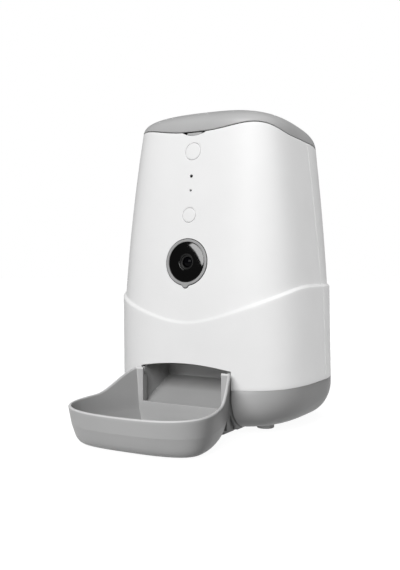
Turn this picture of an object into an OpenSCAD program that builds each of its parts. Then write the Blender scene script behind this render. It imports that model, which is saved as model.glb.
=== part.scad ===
// Automatic pet feeder with camera: a tapered housing in two white halves on a grey base,
// a hinged grey lid, a hopper with a paddle-wheel dispenser, a chute and a slide-out bowl.
// Millimetres, +Z up, the front faces -Y. Modules are drawn about the vertical parting plane
// of the housing (y = 0); in_frame() then moves the origin to the middle of the footprint.

/* [Housing] */
// Half width of the housing at the grey base
body_half_w = 95; // [90:0.5:104]
// Distance from the parting plane to the front at the base
body_front = 110; // [105:0.5:118]
// Distance from the parting plane to the back at the base
body_rear = 98; // [94:0.5:106]
// Squareness of the front half of the plan at the base (2 is an ellipse)
front_square = 3.5; // [3:0.1:4.5]
// Squareness of the rear half of the plan at the base
rear_square = 1.85; // [1.7:0.05:2.4]
// Squareness that the front half gains up to the shoulder
front_square_gain = 1.4; // [0:0.1:2]
// Squareness that the rear half gains up to the shoulder
rear_square_gain = 0.28; // [0:0.02:0.6]
// Height of the seam between the base and the white shells
seam_z = 42; // [38:0.5:46]
// Height of the shoulder, where the shells end at the sides
shoulder_z = 270.5; // [262:0.5:285]
// Wall thickness of the shells
wall = 2.5; // [2:0.1:3]
// Lean of the lower shell sides up to the wave
low_lean_side = 3; // [1:0.1:4]
// Lean of the lower shell front and back up to the wave
low_lean_ends = 0.8; // [0:0.1:2]
// Set-back of the upper shell sides at the top of the wave
set_side = 5.2; // [4.6:0.1:7]
// Set-back of the upper shell front and back at the top of the wave
set_ends = 4; // [3:0.1:6]
// Lean of the upper shell sides from the wave to the shoulder
lean_side = 15.3; // [12:0.1:18]
// Lean of the upper shell front from the wave to the shoulder
lean_front = 15.8; // [13:0.1:18]
// Lean of the upper shell back from the wave to the shoulder
lean_rear = 2.5; // [0.5:0.1:5]
// Outward swell of the upper shell between the wave and the shoulder
belly = 0.9; // [0:0.1:2]

/* [Wave ledge] */
// Height of the ledge at the middle of the front
wave_low = 100.5; // [94:0.5:108]
// Height of the ledge along the sides and back
wave_high = 131.5; // [126:0.5:136]
// Angle round the housing over which the ledge climbs
wave_turn = 65; // [50:1:85]
// Height of the bevelled face of the ledge
wave_bevel = 1.8; // [1.5:0.1:4]

/* [Lid] */
// Height of the crown of the lid
lid_top = 302; // [292:1:312]
// Rise of the lid line at the front corners
lid_wave = 5.8; // [0:0.1:9]
// Angle round the housing taken by that rise
lid_turn = 72; // [60:1:85]
// Fall of the lid line per millimetre towards the back
lid_tilt = 0.035; // [0:0.005:0.04]
// Gap along the lid line
lid_gap = 0.8; // [0.5:0.1:1.5]
// Wall thickness of the lid
lid_wall = 2.4; // [2:0.1:3]
// Radius of the lid hinge knuckles
knuckle_r = 3; // [2.6:0.1:3.4]
// Half length of the lid's own knuckle
knuckle_half = 8; // [6:0.5:12]
// Length of each knuckle on the rear shell
knuckle_len = 8; // [5:0.5:12]
// Radius of the lid hinge pin
hinge_pin_r = 1.5; // [1.2:0.1:1.8]
// Half width of the lid latch tab
tab_half_w = 7.6; // [6:0.1:12]
// Height of the lid latch tab below the lid line
tab_drop = 3.2; // [3:0.1:6]
// Radius of the desiccant cup under the lid
cup_r = 30; // [22:0.5:36]
// Depth of the desiccant cup
cup_h = 13; // [8:0.5:18]

/* [Base] */
// Height of the underside of the base above the floor
base_z = 4; // [3:0.5:6]
// Inward sweep of the rounded bottom edge
base_round_in = 26; // [20:0.5:30]
// Height of the rounded bottom edge
base_round_up = 32; // [24:0.5:34]
// Wall thickness of the base
base_wall = 4.5; // [4:0.1:5.5]
// Floor thickness of the base
base_floor = 3; // [2.5:0.1:4]
// Height of the locating lip above the seam
lip_h = 3; // [2:0.5:5]
// Radius of a rubber foot
foot_r = 7.5; // [6:0.1:9]
// Distance of the front feet from the centre line
foot_x = 54; // [50:0.5:57]
// Distance of the rear feet from the centre line
foot_rear_x = 38; // [30:0.5:40]
// Distance of the front feet ahead of the parting plane
foot_front_y = 50; // [44:0.5:54]
// Distance of the rear feet behind the parting plane
foot_rear_y = 40; // [34:0.5:44]
// Thickness of the chassis deck
deck_t = 3; // [2.5:0.1:4]
// Height of the top of the chassis deck
deck_z = 66; // [65:0.5:70]

/* [Front panel] */
// Height of the feed button
feed_z = 255.9; // [250:0.1:258]
// Radius of the feed button
feed_r = 7.8; // [6:0.1:9]
// Height of the status light
light_z = 233; // [228:0.1:238]
// Height of the microphone hole
mic_z = 219.8; // [214:0.1:224]
// Height of the pairing button
pair_z = 197.3; // [194:0.1:204]
// Radius of the pairing button
pair_r = 6.6; // [5:0.1:8]
// Travel of both buttons
press = 1; // [0.5:0.1:1.2]
// Height of the camera
camera_z = 154.6; // [152:0.1:158]
// Outer radius of the camera bezel
bezel_r = 21; // [19:0.1:23]
// Radius of the black camera window
window_r = 18; // [16:0.1:18.4]
// Radius of the lens barrel
barrel_r = 7; // [5.5:0.1:8.5]

/* [Outlet and bowl] */
// Half width of the outlet in the front shell
outlet_half_w = 47; // [44:0.5:50]
// Height of the outlet at its corners
outlet_side_z = 58.6; // [55:0.1:61]
// Height of the outlet at the middle of its arch
outlet_top_z = 63.3; // [61.5:0.1:65]
// Height of the lower end of the chute ramp
ramp_low_z = 24.6; // [22:0.1:28]
// Height of the upper end of the chute ramp
ramp_high_z = 45; // [40:0.5:48]
// Distance of the chute back wall ahead of the parting plane
chute_back = 64; // [62:0.5:66]
// Wall thickness of the chute
chute_wall = 2.5; // [2:0.1:3]
// Reach of the bowl rim ahead of the parting plane
bowl_reach = 212; // [195:1:230]
// Half width of the bowl rim at its widest place
bowl_half_w = 68; // [60:0.2:76]
// Distance of the widest place of the bowl ahead of the parting plane
bowl_wide = 176; // [170:1:182]
// Length over which the sides of the bowl would close to a point behind it
bowl_taper = 132; // [120:1:160]
// Squareness of the front corners of the bowl
bowl_square = 2.5; // [2.2:0.1:5]
// Gap between the bowl and the front of the housing
bowl_gap = 1.5; // [1:0.1:4]
// Height of the underside of the bowl
bowl_z = 1.5; // [1:0.1:2]
// Height of the bowl rim at the front
rim_low = 32.2; // [28:0.2:36]
// Height of the bowl rim beside the outlet
rim_high = 57.6; // [52:0.2:58]
// Wall thickness of the bowl
bowl_wall = 2.2; // [1.8:0.1:2.8]
// Length of the bowl tongue under the chute
tongue_len = 46; // [36:1:47]

/* [Dispenser] */
// Distance of the rotor axis ahead of the parting plane
rotor_y = 58; // [55:0.5:60]
// Height of the rotor axis
rotor_z = 104; // [103:0.5:106]
// Radius of the dispenser drum bore
drum_r = 35; // [33:0.5:36]
// Half length of the drum bore
drum_half = 36; // [33:0.5:37]
// Wall thickness of the drum
drum_wall = 3; // [2.5:0.1:3.5]
// Number of rotor paddles
paddles = 6; // [4:1:8]
// Radius of the rotor shaft
shaft_r = 3; // [2.5:0.1:4]
// Height where the hopper throat meets the drum
throat_z = 143.5; // [143:0.5:146]
// Front of the throat ahead of the parting plane
throat_front = 80; // [78:0.5:82]
// Rear of the throat ahead of the parting plane
throat_rear = 30; // [27:0.5:34]
// Tooth module of the gear train
gear_m = 1.25; // [1:0.05:1.25]
// Teeth on the rotor gear
rotor_teeth = 40; // [36:1:42]
// Teeth on the idler gear
idler_teeth = 24; // [20:1:26]
// Teeth on the motor pinion
pinion_teeth = 12; // [10:1:14]
// Face width of the gears
gear_w = 8; // [5:0.5:10]
// Direction from the rotor axis to the idler axis, degrees below the horizontal
idler_dir = 20; // [14:1:24]
// Direction from the idler axis to the motor axis, degrees below the horizontal
motor_dir = 10; // [4:1:16]
// Radius of the motor can
motor_r = 12; // [10:0.5:13]
// Length of the motor can
motor_len = 30; // [24:1:34]

/* [Hopper] */
// Height of the hopper rim
hopper_z = 262; // [256:0.5:263]
// Height where the hopper starts to narrow
funnel_z = 220; // [205:1:230]
// Distance of the hopper front wall ahead of the parting plane
hopper_front = 76; // [70:0.5:77]
// Wall thickness of the hopper
hopper_wall = 2; // [1.6:0.1:2.5]

/* [Hidden] */
$fn = 64;

// Running fit of a shaft in its bore, seat clearance between fixed pieces, and moving gaps
run_fit = 0.05;
seat = 0.3;
eps = 0.01;

white = "whitesmoke";
grey = "darkgray";
black = "black";
steel = "silver";
natural = "ivory";
green = "seagreen";

// The footprint runs from the bowl rim to the back of the base
frame_y = (bowl_reach - body_rear) / 2;
module in_frame() {
  translate([0, frame_y, 0]) children();
}

// Plan curves: half width, front and rear depth as one size, squareness as a pair
columns = 72;
half_turn = [for (i = [0:columns / 2]) -90 + 360 * i / columns];
full_turn = [for (i = [0:columns - 1]) -180 + 360 * i / columns];
function plan_point(a, size, square, z) =
  let (c = cos(a), n = c >= 0 ? square[0] : square[1])
  [size[0] * sign(sin(a)) * pow(abs(sin(a)), 2 / n),
   c >= 0 ? -size[1] * pow(c, 2 / n) : size[2] * pow(-c, 2 / n), z];
base_size = [body_half_w, body_front, body_rear];
base_square = [front_square, rear_square];
function shrink(size, d) = [size[0] - d, size[1] - d, size[2] - d];
function square_at(z) =
  let (t = (z - seam_z) / (shoulder_z - seam_z))
  [front_square + front_square_gain * t, rear_square + rear_square_gain * t];
function low_size(z) =
  let (t = (z - seam_z) / (wave_high - seam_z))
  [body_half_w - low_lean_side * t, body_front - low_lean_ends * t, body_rear - low_lean_ends * t];
function up_size(z) =
  let (t = (z - wave_high) / (shoulder_z - wave_high), swell = 4 * belly * t * (1 - t))
  [body_half_w - set_side - lean_side * t + swell,
   body_front - set_ends - lean_front * t + swell,
   body_rear - set_ends - lean_rear * t + swell];

// Heights of the two wavy lines at a column
function heading(a) =
  let (p = plan_point(a, base_size, base_square, 0)) abs(atan2(p[0], -p[1]));
function wave_at(a) =
  wave_low + (wave_high - wave_low) * (1 - cos(180 * min(heading(a) / wave_turn, 1))) / 2;
function lid_line(a) =
  let (p = plan_point(a, up_size(shoulder_z), square_at(shoulder_z), 0))
  shoulder_z + lid_wave * (1 - cos(360 * min(heading(a) / lid_turn, 1))) / 2 - lid_tilt * p[1];

// Closed skin over rows of points. ring: the columns join up; loop: the rows join up;
// what does not join up is capped by its first and last line of points.
module skin(rows, ring, loop) {
  n = len(rows[0]);
  m = len(rows);
  last_i = loop ? m - 1 : m - 2;
  last_j = ring ? n - 1 : n - 2;
  sides = [for (i = [0:last_i], j = [0:last_j])
    let (k = (i + 1) % m, l = (j + 1) % n)
    each [[i * n + j, k * n + j, k * n + l], [i * n + j, k * n + l, i * n + l]]];
  row_caps = [[for (j = [0:n - 1]) (j + n / 2) % n], [for (j = [0:n - 1]) (m - 1) * n + (n + n / 2 - j) % n]];
  column_caps = [[for (i = [0:m - 1]) (m - 1 - i) * n], [for (i = [0:m - 1]) i * n + n - 1]];
  caps = ring && loop ? [] : loop ? column_caps : row_caps;
  polyhedron([for (row = rows) each row], concat(sides, caps), convexity = 8);
}
function plan_row(size, square, z) = [for (a = full_turn) plan_point(a, size, square, z)];
module plan_plate(size, square, low, high) {
  translate([0, 0, low]) linear_extrude(high - low)
    polygon([for (p = plan_row(size, square, 0)) [p[0], p[1]]]);
}

// A frame on the front face: local +Z points out of the shell, local +Y up along it
function front_y(z) = -up_size(z)[1];
function front_tilt(z) = atan((up_size(z - 1)[1] - up_size(z + 1)[1]) / 2);
module at_front(z) {
  translate([0, front_y(z), z]) rotate([90 - front_tilt(z), 0, 0]) children();
}
// A frame on an axis parallel to X: local +Z becomes +X, local X and Y become Y and Z
module along_x(y, z) {
  translate([0, y, z]) rotate([90, 0, 90]) children();
}
module rod(r, low, high) {
  translate([0, 0, low]) cylinder(r = r, h = high - low);
}
module span(low, high) {
  translate(low) cube(high - low);
}
module both_sides() {
  for (side = [0, 1]) mirror([side, 0, 0]) children();
}
module screw(head_r, head_h, shank_r, shank_len) {
  rod(head_r, 0, head_h);
  rod(shank_r, -shank_len, eps);
}

// Base: a tray with a swept bottom edge, a lip for the shells, posts for the deck
floor_z = base_z + base_floor;
recess_half = outlet_half_w + 0.5;
recess_y = -chute_back + chute_wall - 0.5;
feet = [[foot_x, -foot_front_y], [foot_rear_x, foot_rear_y]];
post_r = 4.5;
screw_r = 1.4;
pilot_r = 1.5;
inlet_z = 25;
board_half = [42, 26];
board_y = 4;
standoff_h = 5;
standoff_r = 3;
standoffs = [for (sx = [-1, 1], sy = [-1, 1]) [sx * (board_half[0] - 4), board_y + sy * (board_half[1] - 4)]];
function round_row(turn, low, inset) =
  plan_row(shrink(base_size, inset + base_round_in * (1 - cos(turn))), base_square,
    low + base_round_up * (1 - sin(turn)));
module base_shell() {
  lip_out = shrink(base_size, wall + seat);
  lip_in = shrink(base_size, base_wall);
  rows = concat(
    [for (turn = [90:-15:0]) round_row(turn, base_z, 0)],
    [plan_row(base_size, base_square, seam_z),
     plan_row(lip_out, base_square, seam_z),
     plan_row(lip_out, base_square, seam_z + lip_h),
     plan_row(lip_in, base_square, seam_z + lip_h)],
    [for (turn = [0:30:90]) round_row(turn, floor_z, base_wall)]
  );
  color(grey) difference() {
    union() {
      difference() {
        skin(rows, true, false);
        span([-recess_half, -body_front - 5, -1], [recess_half, recess_y, seam_z + lip_h + 1]);
      }
      both_sides() for (p = feet) translate([p[0], p[1], 0]) rod(post_r, floor_z - 0.5, deck_z - deck_t);
      for (p = standoffs) translate([p[0], p[1], 0]) rod(standoff_r, floor_z - 0.5, floor_z + standoff_h);
    }
    both_sides() for (p = feet) translate([p[0], p[1], 0]) {
      rod(pilot_r, deck_z - deck_t - post_pilot, deck_z);
      rod(foot_peg_r + run_fit, -1, base_z + foot_peg_h + seat);
    }
    for (p = standoffs) translate([p[0], p[1], 0])
      rod(board_screw_r + run_fit, floor_z + 1, floor_z + standoff_h + 1);
    translate([0, body_rear - base_round_in, inlet_z]) rotate([-90, 0, 0])
      rod(inlet_r + seat, 0, base_round_in + 5);
  }
}
post_pilot = 16;
foot_peg_r = 2.5;
foot_peg_h = 1.5;
board_screw_r = 1.1;
module rubber_feet() {
  color("dimgray") both_sides() for (p = feet) translate([p[0], p[1], 0]) {
    rod(foot_r, 0, base_z);
    rod(foot_peg_r, base_z - eps, base_z + foot_peg_h);
  }
}

// Deck on the base posts: carries the dispenser
deck_edge = wall + 2;
flange_out = 62;
flange_t = 2.6;
flange_rear = foot_front_y + 6;
flange_front = flange_rear + 20;
flange_screws = [[flange_out - 6, -flange_front + 5], [flange_out - 6, -flange_rear - 5]];
module chassis_deck() {
  color(natural) difference() {
    plan_plate(shrink(low_size(deck_z), deck_edge), square_at(deck_z), deck_z - deck_t, deck_z);
    span([-recess_half, -body_front - 5, 0], [recess_half, -chute_back + chute_wall + seat, deck_z + 1]);
    both_sides() {
      for (p = feet) translate([p[0], p[1], 0]) rod(screw_r + run_fit, 0, deck_z + 1);
      for (p = flange_screws) translate([p[0], p[1], 0]) rod(screw_r + run_fit, 0, deck_z + 1);
    }
  }
}
module deck_screws() {
  color(steel) both_sides() for (p = feet)
    translate([p[0], p[1], deck_z]) screw(3, 2, screw_r, post_pilot - 2);
}

// Shells: two halves that meet at the parting plane, with a bevelled wavy ledge
function shell_rows(turn) = concat(
  [for (k = [0:2]) [for (a = turn)
    let (z = seam_z + (wave_at(a) - wave_bevel - seam_z) * k / 2)
    plan_point(a, low_size(z), square_at(z), z)]],
  [for (k = [0:4]) [for (a = turn)
    let (z = wave_at(a) + (lid_line(a) - wave_at(a)) * k / 4)
    plan_point(a, up_size(z), square_at(z), z)]],
  [for (k = [0:2]) [for (a = turn)
    let (z = lid_line(a) + (wave_high - lid_line(a)) * k / 2)
    plan_point(a, shrink(up_size(z), wall), square_at(z), z)]],
  [[for (a = turn) plan_point(a, shrink(base_size, wall), base_square, seam_z)]]
);

// Outlet arch through the front shell
arch_rise = outlet_top_z - outlet_side_z;
arch_r = (pow(outlet_half_w, 2) + pow(arch_rise, 2)) / (2 * arch_rise);
module outlet_cut() {
  intersection() {
    span([-outlet_half_w, -body_front - 5, seam_z - 5], [outlet_half_w, -body_front / 2, outlet_top_z + 5]);
    translate([0, -body_front / 2, outlet_top_z - arch_r])
      rotate([90, 0, 0]) cylinder(r = arch_r, h = body_front, $fn = 180);
  }
}

button_gap = 0.3;
bezel_seat = 1;
spigot_r = bezel_r - 2;
lobe_r = 2.6;
lobe_y = bezel_r + 0.6;
light_r = 1.2;
mic_hole_r = 1.1;
panel_z = (feed_z + pair_z) / 2;
panel_depth = 10.5;
panel_post_r = 2.5;
panel_post_y = 17.5;
tab_notch = tab_half_w + 4.9;
notch_r = (pow(tab_notch, 2) + pow(tab_drop, 2)) / (2 * tab_drop);
through = 8;
// The latch sits in a shallow arc of the shell's upper edge
module latch_arc(r) {
  translate([0, front_y(shoulder_z), lid_line(0) - tab_drop + notch_r])
    rotate([90, 0, 0]) cylinder(r = r, h = 4 * through, center = true, $fn = 120);
}
module front_shell() {
  color(white) difference() {
    union() {
      skin(shell_rows(half_turn), false, true);
      at_front(panel_z) for (side = [-1, 1]) translate([0, side * panel_post_y, 0])
        rod(panel_post_r, -panel_depth, -wall / 2);
    }
    outlet_cut();
    at_front(camera_z) {
      rod(spigot_r + seat, -through, through);
      rod(bezel_r + seat, -bezel_seat, through);
      translate([0, -lobe_y, 0]) rod(lobe_r + seat, -bezel_seat, through);
    }
    at_front(feed_z) rod(feed_r + button_gap, -through, through);
    at_front(pair_z) rod(pair_r + button_gap, -through, through);
    at_front(light_z) rod(light_r + button_gap, -through, through);
    at_front(mic_z) rod(mic_hole_r, -through, through);
    latch_arc(notch_r);
  }
}

hinge_y = body_rear - knuckle_r;
hinge_z = lid_line(180) + lid_gap / 2;
knuckle_in = knuckle_half + 0.3;
knuckle_out = knuckle_in + knuckle_len;
web_y = hinge_y - knuckle_r - 3.6;
speaker_z = 92;
speaker_r = 16;
grille_slots = 5;
grille_pitch = 5;
grille_w = 2;
module rear_shell() {
  color(white) difference() {
    union() {
      skin(shell_rows([for (a = half_turn) a + 180]), false, true);
      both_sides() {
        along_x(hinge_y, hinge_z) rod(knuckle_r, knuckle_in, knuckle_out);
        span([knuckle_in, web_y, hinge_z - 7], [knuckle_out, hinge_y, hinge_z - lid_gap]);
      }
    }
    along_x(hinge_y, hinge_z) rod(hinge_pin_r + run_fit, -knuckle_out - 1, knuckle_out + 1);
    for (i = [0:grille_slots - 1])
      translate([0, body_rear, speaker_z + (i - (grille_slots - 1) / 2) * grille_pitch])
        cube([speaker_r * 1.2, 30, grille_w], center = true);
  }
}
module hinge_pin() {
  color(steel) along_x(hinge_y, hinge_z) rod(hinge_pin_r, 0.2 - knuckle_out, knuckle_out - 0.2);
}

// Hopper: full plan above, a funnel to the throat below, and a rim flange
throat_half = drum_half - 1;
function throat_row(d, z) = [for (a = full_turn)
  let (mid = -(throat_front + throat_rear) / 2, deep = (throat_front - throat_rear) / 2 - 1 - d,
    p = plan_point(a, [throat_half - d, deep, deep], [8, 8], z))
  [p[0], p[1] + mid, z]];
function hopper_row(d, z) =
  let (s = shrink(up_size(z), wall + 3)) plan_row(shrink([s[0], hopper_front, s[2]], d), square_at(z), z);
function rim_size(d) = let (s = shrink(up_size(hopper_z), wall + 0.8 + d)) [s[0], hopper_front + 4 - d, s[2]];
module hopper() {
  rim = rim_size(0);
  rows = [
    throat_row(0, throat_z), hopper_row(0, funnel_z), hopper_row(0, hopper_z - hopper_wall),
    plan_row(rim, square_at(hopper_z), hopper_z - hopper_wall), plan_row(rim, square_at(hopper_z), hopper_z),
    hopper_row(hopper_wall, hopper_z), hopper_row(hopper_wall, funnel_z), throat_row(hopper_wall, throat_z)
  ];
  color(natural) skin(rows, true, true);
}

// Dispenser: drum, throat, spout, screw flanges and the gear side plate
drum_out = drum_r + drum_wall;
drum_end = drum_half + drum_wall;
spout_z = deck_z - 1.5;
spout_front = rotor_y + drum_r;
spout_rear = chute_back + 1;
bush_r = shaft_r + 3;
axle_r = 2;
mesh_1 = gear_m * (rotor_teeth + idler_teeth) / 2;
mesh_2 = gear_m * (idler_teeth + pinion_teeth) / 2;
idler_y = -rotor_y + mesh_1 * cos(idler_dir);
idler_z = rotor_z - mesh_1 * sin(idler_dir);
motor_y = idler_y + mesh_2 * cos(motor_dir);
motor_z = idler_z - mesh_2 * sin(motor_dir);
motor_screw_y = motor_r - 3.5;
motor_boss_r = 4;
module dispenser_housing() {
  color(natural) difference() {
    union() {
      along_x(-rotor_y, rotor_z) rod(drum_out, -drum_end, drum_end);
      span([-drum_end, -throat_front - drum_wall, rotor_z], [drum_end, -throat_rear + drum_wall, throat_z]);
      span([-drum_end, -spout_front, spout_z], [drum_end, -spout_rear, rotor_z]);
      both_sides() span([drum_half, -flange_front, deck_z], [flange_out, -flange_rear, deck_z + flange_t]);
      span([drum_half, -rotor_y, deck_z], [drum_end, motor_y + motor_r + 3, rotor_z + 14]);
    }
    along_x(-rotor_y, rotor_z) {
      rod(drum_r, -drum_half, drum_half);
      rod(bush_r + run_fit, -drum_end - 1, drum_end + 1);
    }
    span([-drum_half, -throat_front, rotor_z], [drum_half, -throat_rear, throat_z + 1]);
    span([-drum_half, -spout_front + drum_wall, spout_z - 1], [drum_half, -spout_rear - drum_wall, rotor_z]);
    along_x(idler_y, idler_z) rod(axle_r + run_fit, drum_half - 1, drum_end + 1);
    along_x(motor_y, motor_z) {
      rod(motor_boss_r + seat, drum_half - 1, drum_end + 1);
      for (side = [-1, 1]) translate([side * motor_screw_y, 0, 0])
        rod(screw_r + run_fit, drum_half - 1, drum_end + 1);
    }
    both_sides() for (p = flange_screws) translate([p[0], p[1], 0])
      rod(screw_r + run_fit, 0, deck_z + flange_t + 1);
  }
}
module dispenser_screws() {
  color(steel) both_sides() for (p = flange_screws)
    translate([p[0], p[1], deck_z + flange_t]) screw(3, 2, screw_r, flange_t + deck_t);
}
module shaft_bushes() {
  color("wheat") both_sides() along_x(-rotor_y, rotor_z) difference() {
    rod(bush_r, drum_half, drum_end);
    rod(shaft_r + run_fit, drum_half - 1, drum_end + 1);
  }
}

// Rotor on its shaft, with the index cam and the drive gear
gear_x = drum_end + 1;
cover_x = gear_x + gear_w + 2;
cam_x = -drum_end - 2;
cam_w = 4;
cam_r = 8.5;
cam_lobe = 2;
hub_r = shaft_r + 5;
paddle_t = 2.6;
paddle_gap = 1.4;
module rotor_shaft() {
  color(steel) along_x(-rotor_y, rotor_z) rod(shaft_r, cam_x - cam_w - 1, cover_x - 0.4);
}
module paddle_rotor() {
  reach = drum_r - paddle_gap;
  color("gainsboro") along_x(-rotor_y, rotor_z) difference() {
    union() {
      rod(hub_r, -drum_half + 1, drum_half - 1);
      for (i = [0:paddles - 1]) rotate([0, 0, 360 * i / paddles]) {
        span([hub_r - 1, -paddle_t / 2, -drum_half + 1.5],
          [reach - paddle_t / 2, paddle_t / 2, drum_half - 1.5]);
        translate([reach - paddle_t / 2, 0, 0]) rod(paddle_t / 2, -drum_half + 1.5, drum_half - 1.5);
      }
    }
    rod(shaft_r + 0.02, -drum_end, drum_end);
  }
}
// Involute gear outline: flank points at the root, the pitch circle and the tip
pressure = 20;
backlash = 0.6;
function involute(a) = tan(a) * 180 / PI - a;
function flank(r, rb, n) = 90 / n - backlash + involute(pressure) - involute(acos(min(1, rb / r)));
function gear_outline(n) =
  let (rp = gear_m * n / 2, rb = rp * cos(pressure), ro = rp + gear_m, ri = rp - 1.25 * gear_m,
    stations = [for (r = [max(ri, rb), rp, ro]) [r, flank(r, rb, n)]])
  [for (i = [0:n - 1]) each concat(
    [let (a = 360 * i / n - flank(max(ri, rb), rb, n) - 1) ri * [cos(a), sin(a)]],
    [for (s = stations) let (a = 360 * i / n - s[1]) s[0] * [cos(a), sin(a)]],
    [for (k = [2:-1:0]) let (a = 360 * i / n + stations[k][1]) stations[k][0] * [cos(a), sin(a)]],
    [let (a = 360 * i / n + flank(max(ri, rb), rb, n) + 1) ri * [cos(a), sin(a)]])];
module gear(n, bore, phase) {
  difference() {
    rotate([0, 0, phase]) translate([0, 0, gear_x]) linear_extrude(gear_w) polygon(gear_outline(n));
    rod(bore, gear_x - 1, gear_x + gear_w + 1);
  }
}
// A tooth of the rotor gear and of the pinion points at a gap of the idler
rotor_phase = -idler_dir;
idler_phase = 180 - idler_dir - 180 / idler_teeth;
idler_off = (-motor_dir - idler_phase) * idler_teeth / 360;
pinion_phase = 180 - motor_dir + (idler_off - floor(idler_off) + 0.5) * 360 / pinion_teeth;
module drive_gear() {
  color("lightsteelblue") along_x(-rotor_y, rotor_z) {
    difference() {
      gear(rotor_teeth, shaft_r + 0.02, rotor_phase);
      for (i = [0:5]) rotate([0, 0, 60 * i]) translate([gear_m * rotor_teeth / 4 + 2, 0, 0])
        rod(5, gear_x - 1, gear_x + gear_w + 1);
    }
  }
}
module index_cam() {
  color("lightsteelblue") along_x(-rotor_y, rotor_z) difference() {
    union() {
      rod(cam_r, cam_x - cam_w, cam_x);
      for (i = [0:paddles - 1]) rotate([0, 0, 360 * (i + 0.5) / paddles])
        translate([cam_r - 1, 0, 0]) rod(cam_lobe + 1, cam_x - cam_w, cam_x);
    }
    rod(shaft_r + 0.02, cam_x - cam_w - 1, cam_x + 1);
  }
}
module index_switch() {
  face = -rotor_y + cam_r + cam_lobe + 0.5;
  color(black) {
    span([cam_x - cam_w, face + 1.2, rotor_z - 10], [-drum_end, face + 8, rotor_z + 10]);
    span([cam_x - cam_w + 0.5, face, rotor_z - 3], [cam_x - 0.5, face + 1.3, rotor_z + 8]);
  }
}
module idler_gear() {
  color("lightsteelblue") along_x(idler_y, idler_z) gear(idler_teeth, axle_r + run_fit, idler_phase);
}
module idler_axle() {
  color(steel) along_x(idler_y, idler_z) rod(axle_r, drum_half, cover_x - 0.4);
}
motor_shaft_r = 1.5;
motor_bearing = 10;
module motor_pinion() {
  color("lightsteelblue") along_x(motor_y, motor_z) {
    gear(pinion_teeth, motor_shaft_r, pinion_phase);
    rod(motor_shaft_r, drum_half - motor_bearing + 1, gear_x + gear_w);
  }
}
module gear_motor() {
  color("lightgray") along_x(motor_y, motor_z) difference() {
    union() {
      rod(motor_r, drum_half - motor_len, drum_half);
      rod(motor_r * 0.45, drum_half - motor_len - 3, drum_half - motor_len + 1);
      rod(motor_boss_r, drum_half - 1, drum_end);
    }
    rod(motor_shaft_r + run_fit, drum_half - motor_bearing, drum_end + 1);
    for (side = [-1, 1]) translate([side * motor_screw_y, 0, 0])
      rod(screw_r + run_fit, drum_half - 6, drum_half + 1);
  }
}
module motor_screws() {
  color(steel) along_x(motor_y, motor_z) for (side = [-1, 1])
    translate([side * motor_screw_y, 0, drum_end]) screw(2.2, 0.7, screw_r, drum_wall + 4);
}
cover_wall = 2;
module gear_cover() {
  stations = [[-rotor_y, rotor_z, rotor_teeth], [idler_y, idler_z, idler_teeth],
    [motor_y, motor_z, pinion_teeth]];
  color(natural) difference() {
    union() for (s = stations)
      along_x(s[0], s[1]) rod(gear_m * (s[2] / 2 + 1) + 2 + cover_wall, drum_end, cover_x + cover_wall);
    for (s = stations) along_x(s[0], s[1]) rod(gear_m * (s[2] / 2 + 1) + 2, drum_end - 1, cover_x);
  }
}

// Chute: side walls, ramp, back wall, floor flange and rails for the bowl tongue
tongue_t = 3;
chute_half = outlet_half_w - 3.5;
chute_front = body_front - 3;
chute_top = deck_z - deck_t - 0.5;
rail_z = bowl_z + tongue_t + seat;
rail_in = 36;
rail_front = chute_back + 28;
ramp_t = 3;
module chute() {
  side = [[-chute_front, ramp_low_z - ramp_t], [-chute_front, outlet_side_z - 1.2],
    [-chute_front + 4, outlet_side_z - 1.2], [-chute_front + 4, chute_top],
    [-chute_back + chute_wall, chute_top], [-chute_back + chute_wall, floor_z],
    [recess_y - 0.2, floor_z], [recess_y - 0.2, rail_z], [-rail_front, rail_z]];
  ramp = [[-chute_front, ramp_low_z], [-chute_back + 1, ramp_high_z + 0.4],
    [-chute_back + 1, ramp_high_z - ramp_t], [-chute_front, ramp_low_z - ramp_t]];
  color(grey) {
    both_sides() along_x(0, 0) translate([0, 0, chute_half]) linear_extrude(chute_wall) polygon(side);
    along_x(0, 0) translate([0, 0, -chute_half - 1]) linear_extrude(2 * chute_half + 2) polygon(ramp);
    span([-chute_half - 1, -chute_back, floor_z], [chute_half + 1, -chute_back + chute_wall, chute_top]);
    span([-chute_half + 4, -chute_back + 1, floor_z], [chute_half - 4, -chute_back + 14, floor_z + 2.5]);
    both_sides() span([rail_in, -rail_front, rail_z], [chute_half + 1, recess_y - 0.2, rail_z + 2.4]);
  }
}

// Bowl: lofted tray, widest near the front, with a rising rim, cut away at the back for the chute;
// two cheeks close the gap beside the chute, two wings run in under its ramp
bowl_back = body_front + bowl_gap;
bowl_low_front = 8.5;
bowl_low_side = 7.5;
bowl_crease_z = 18;
bowl_bend = 1.4;
tongue_half = 37;
lip_cut = chute_half - 2.6;
rim_climb = 8.5;
rim_start = 0.56;
function smooth(t) = let (u = max(0, min(1, t))) u * u * (3 - 2 * u);
function rim_at(y) =
  let (t = (y + bowl_reach) / (bowl_reach - bowl_back))
  rim_low + rim_climb * t
    + (rim_high - rim_low - rim_climb) * smooth((t - rim_start) / (1.02 - rim_start));
function bowl_side(y) =
  bowl_half_w * pow(1 - pow(max(y + bowl_wide, 0) / bowl_taper, bowl_bend), 1 / bowl_bend);
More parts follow.
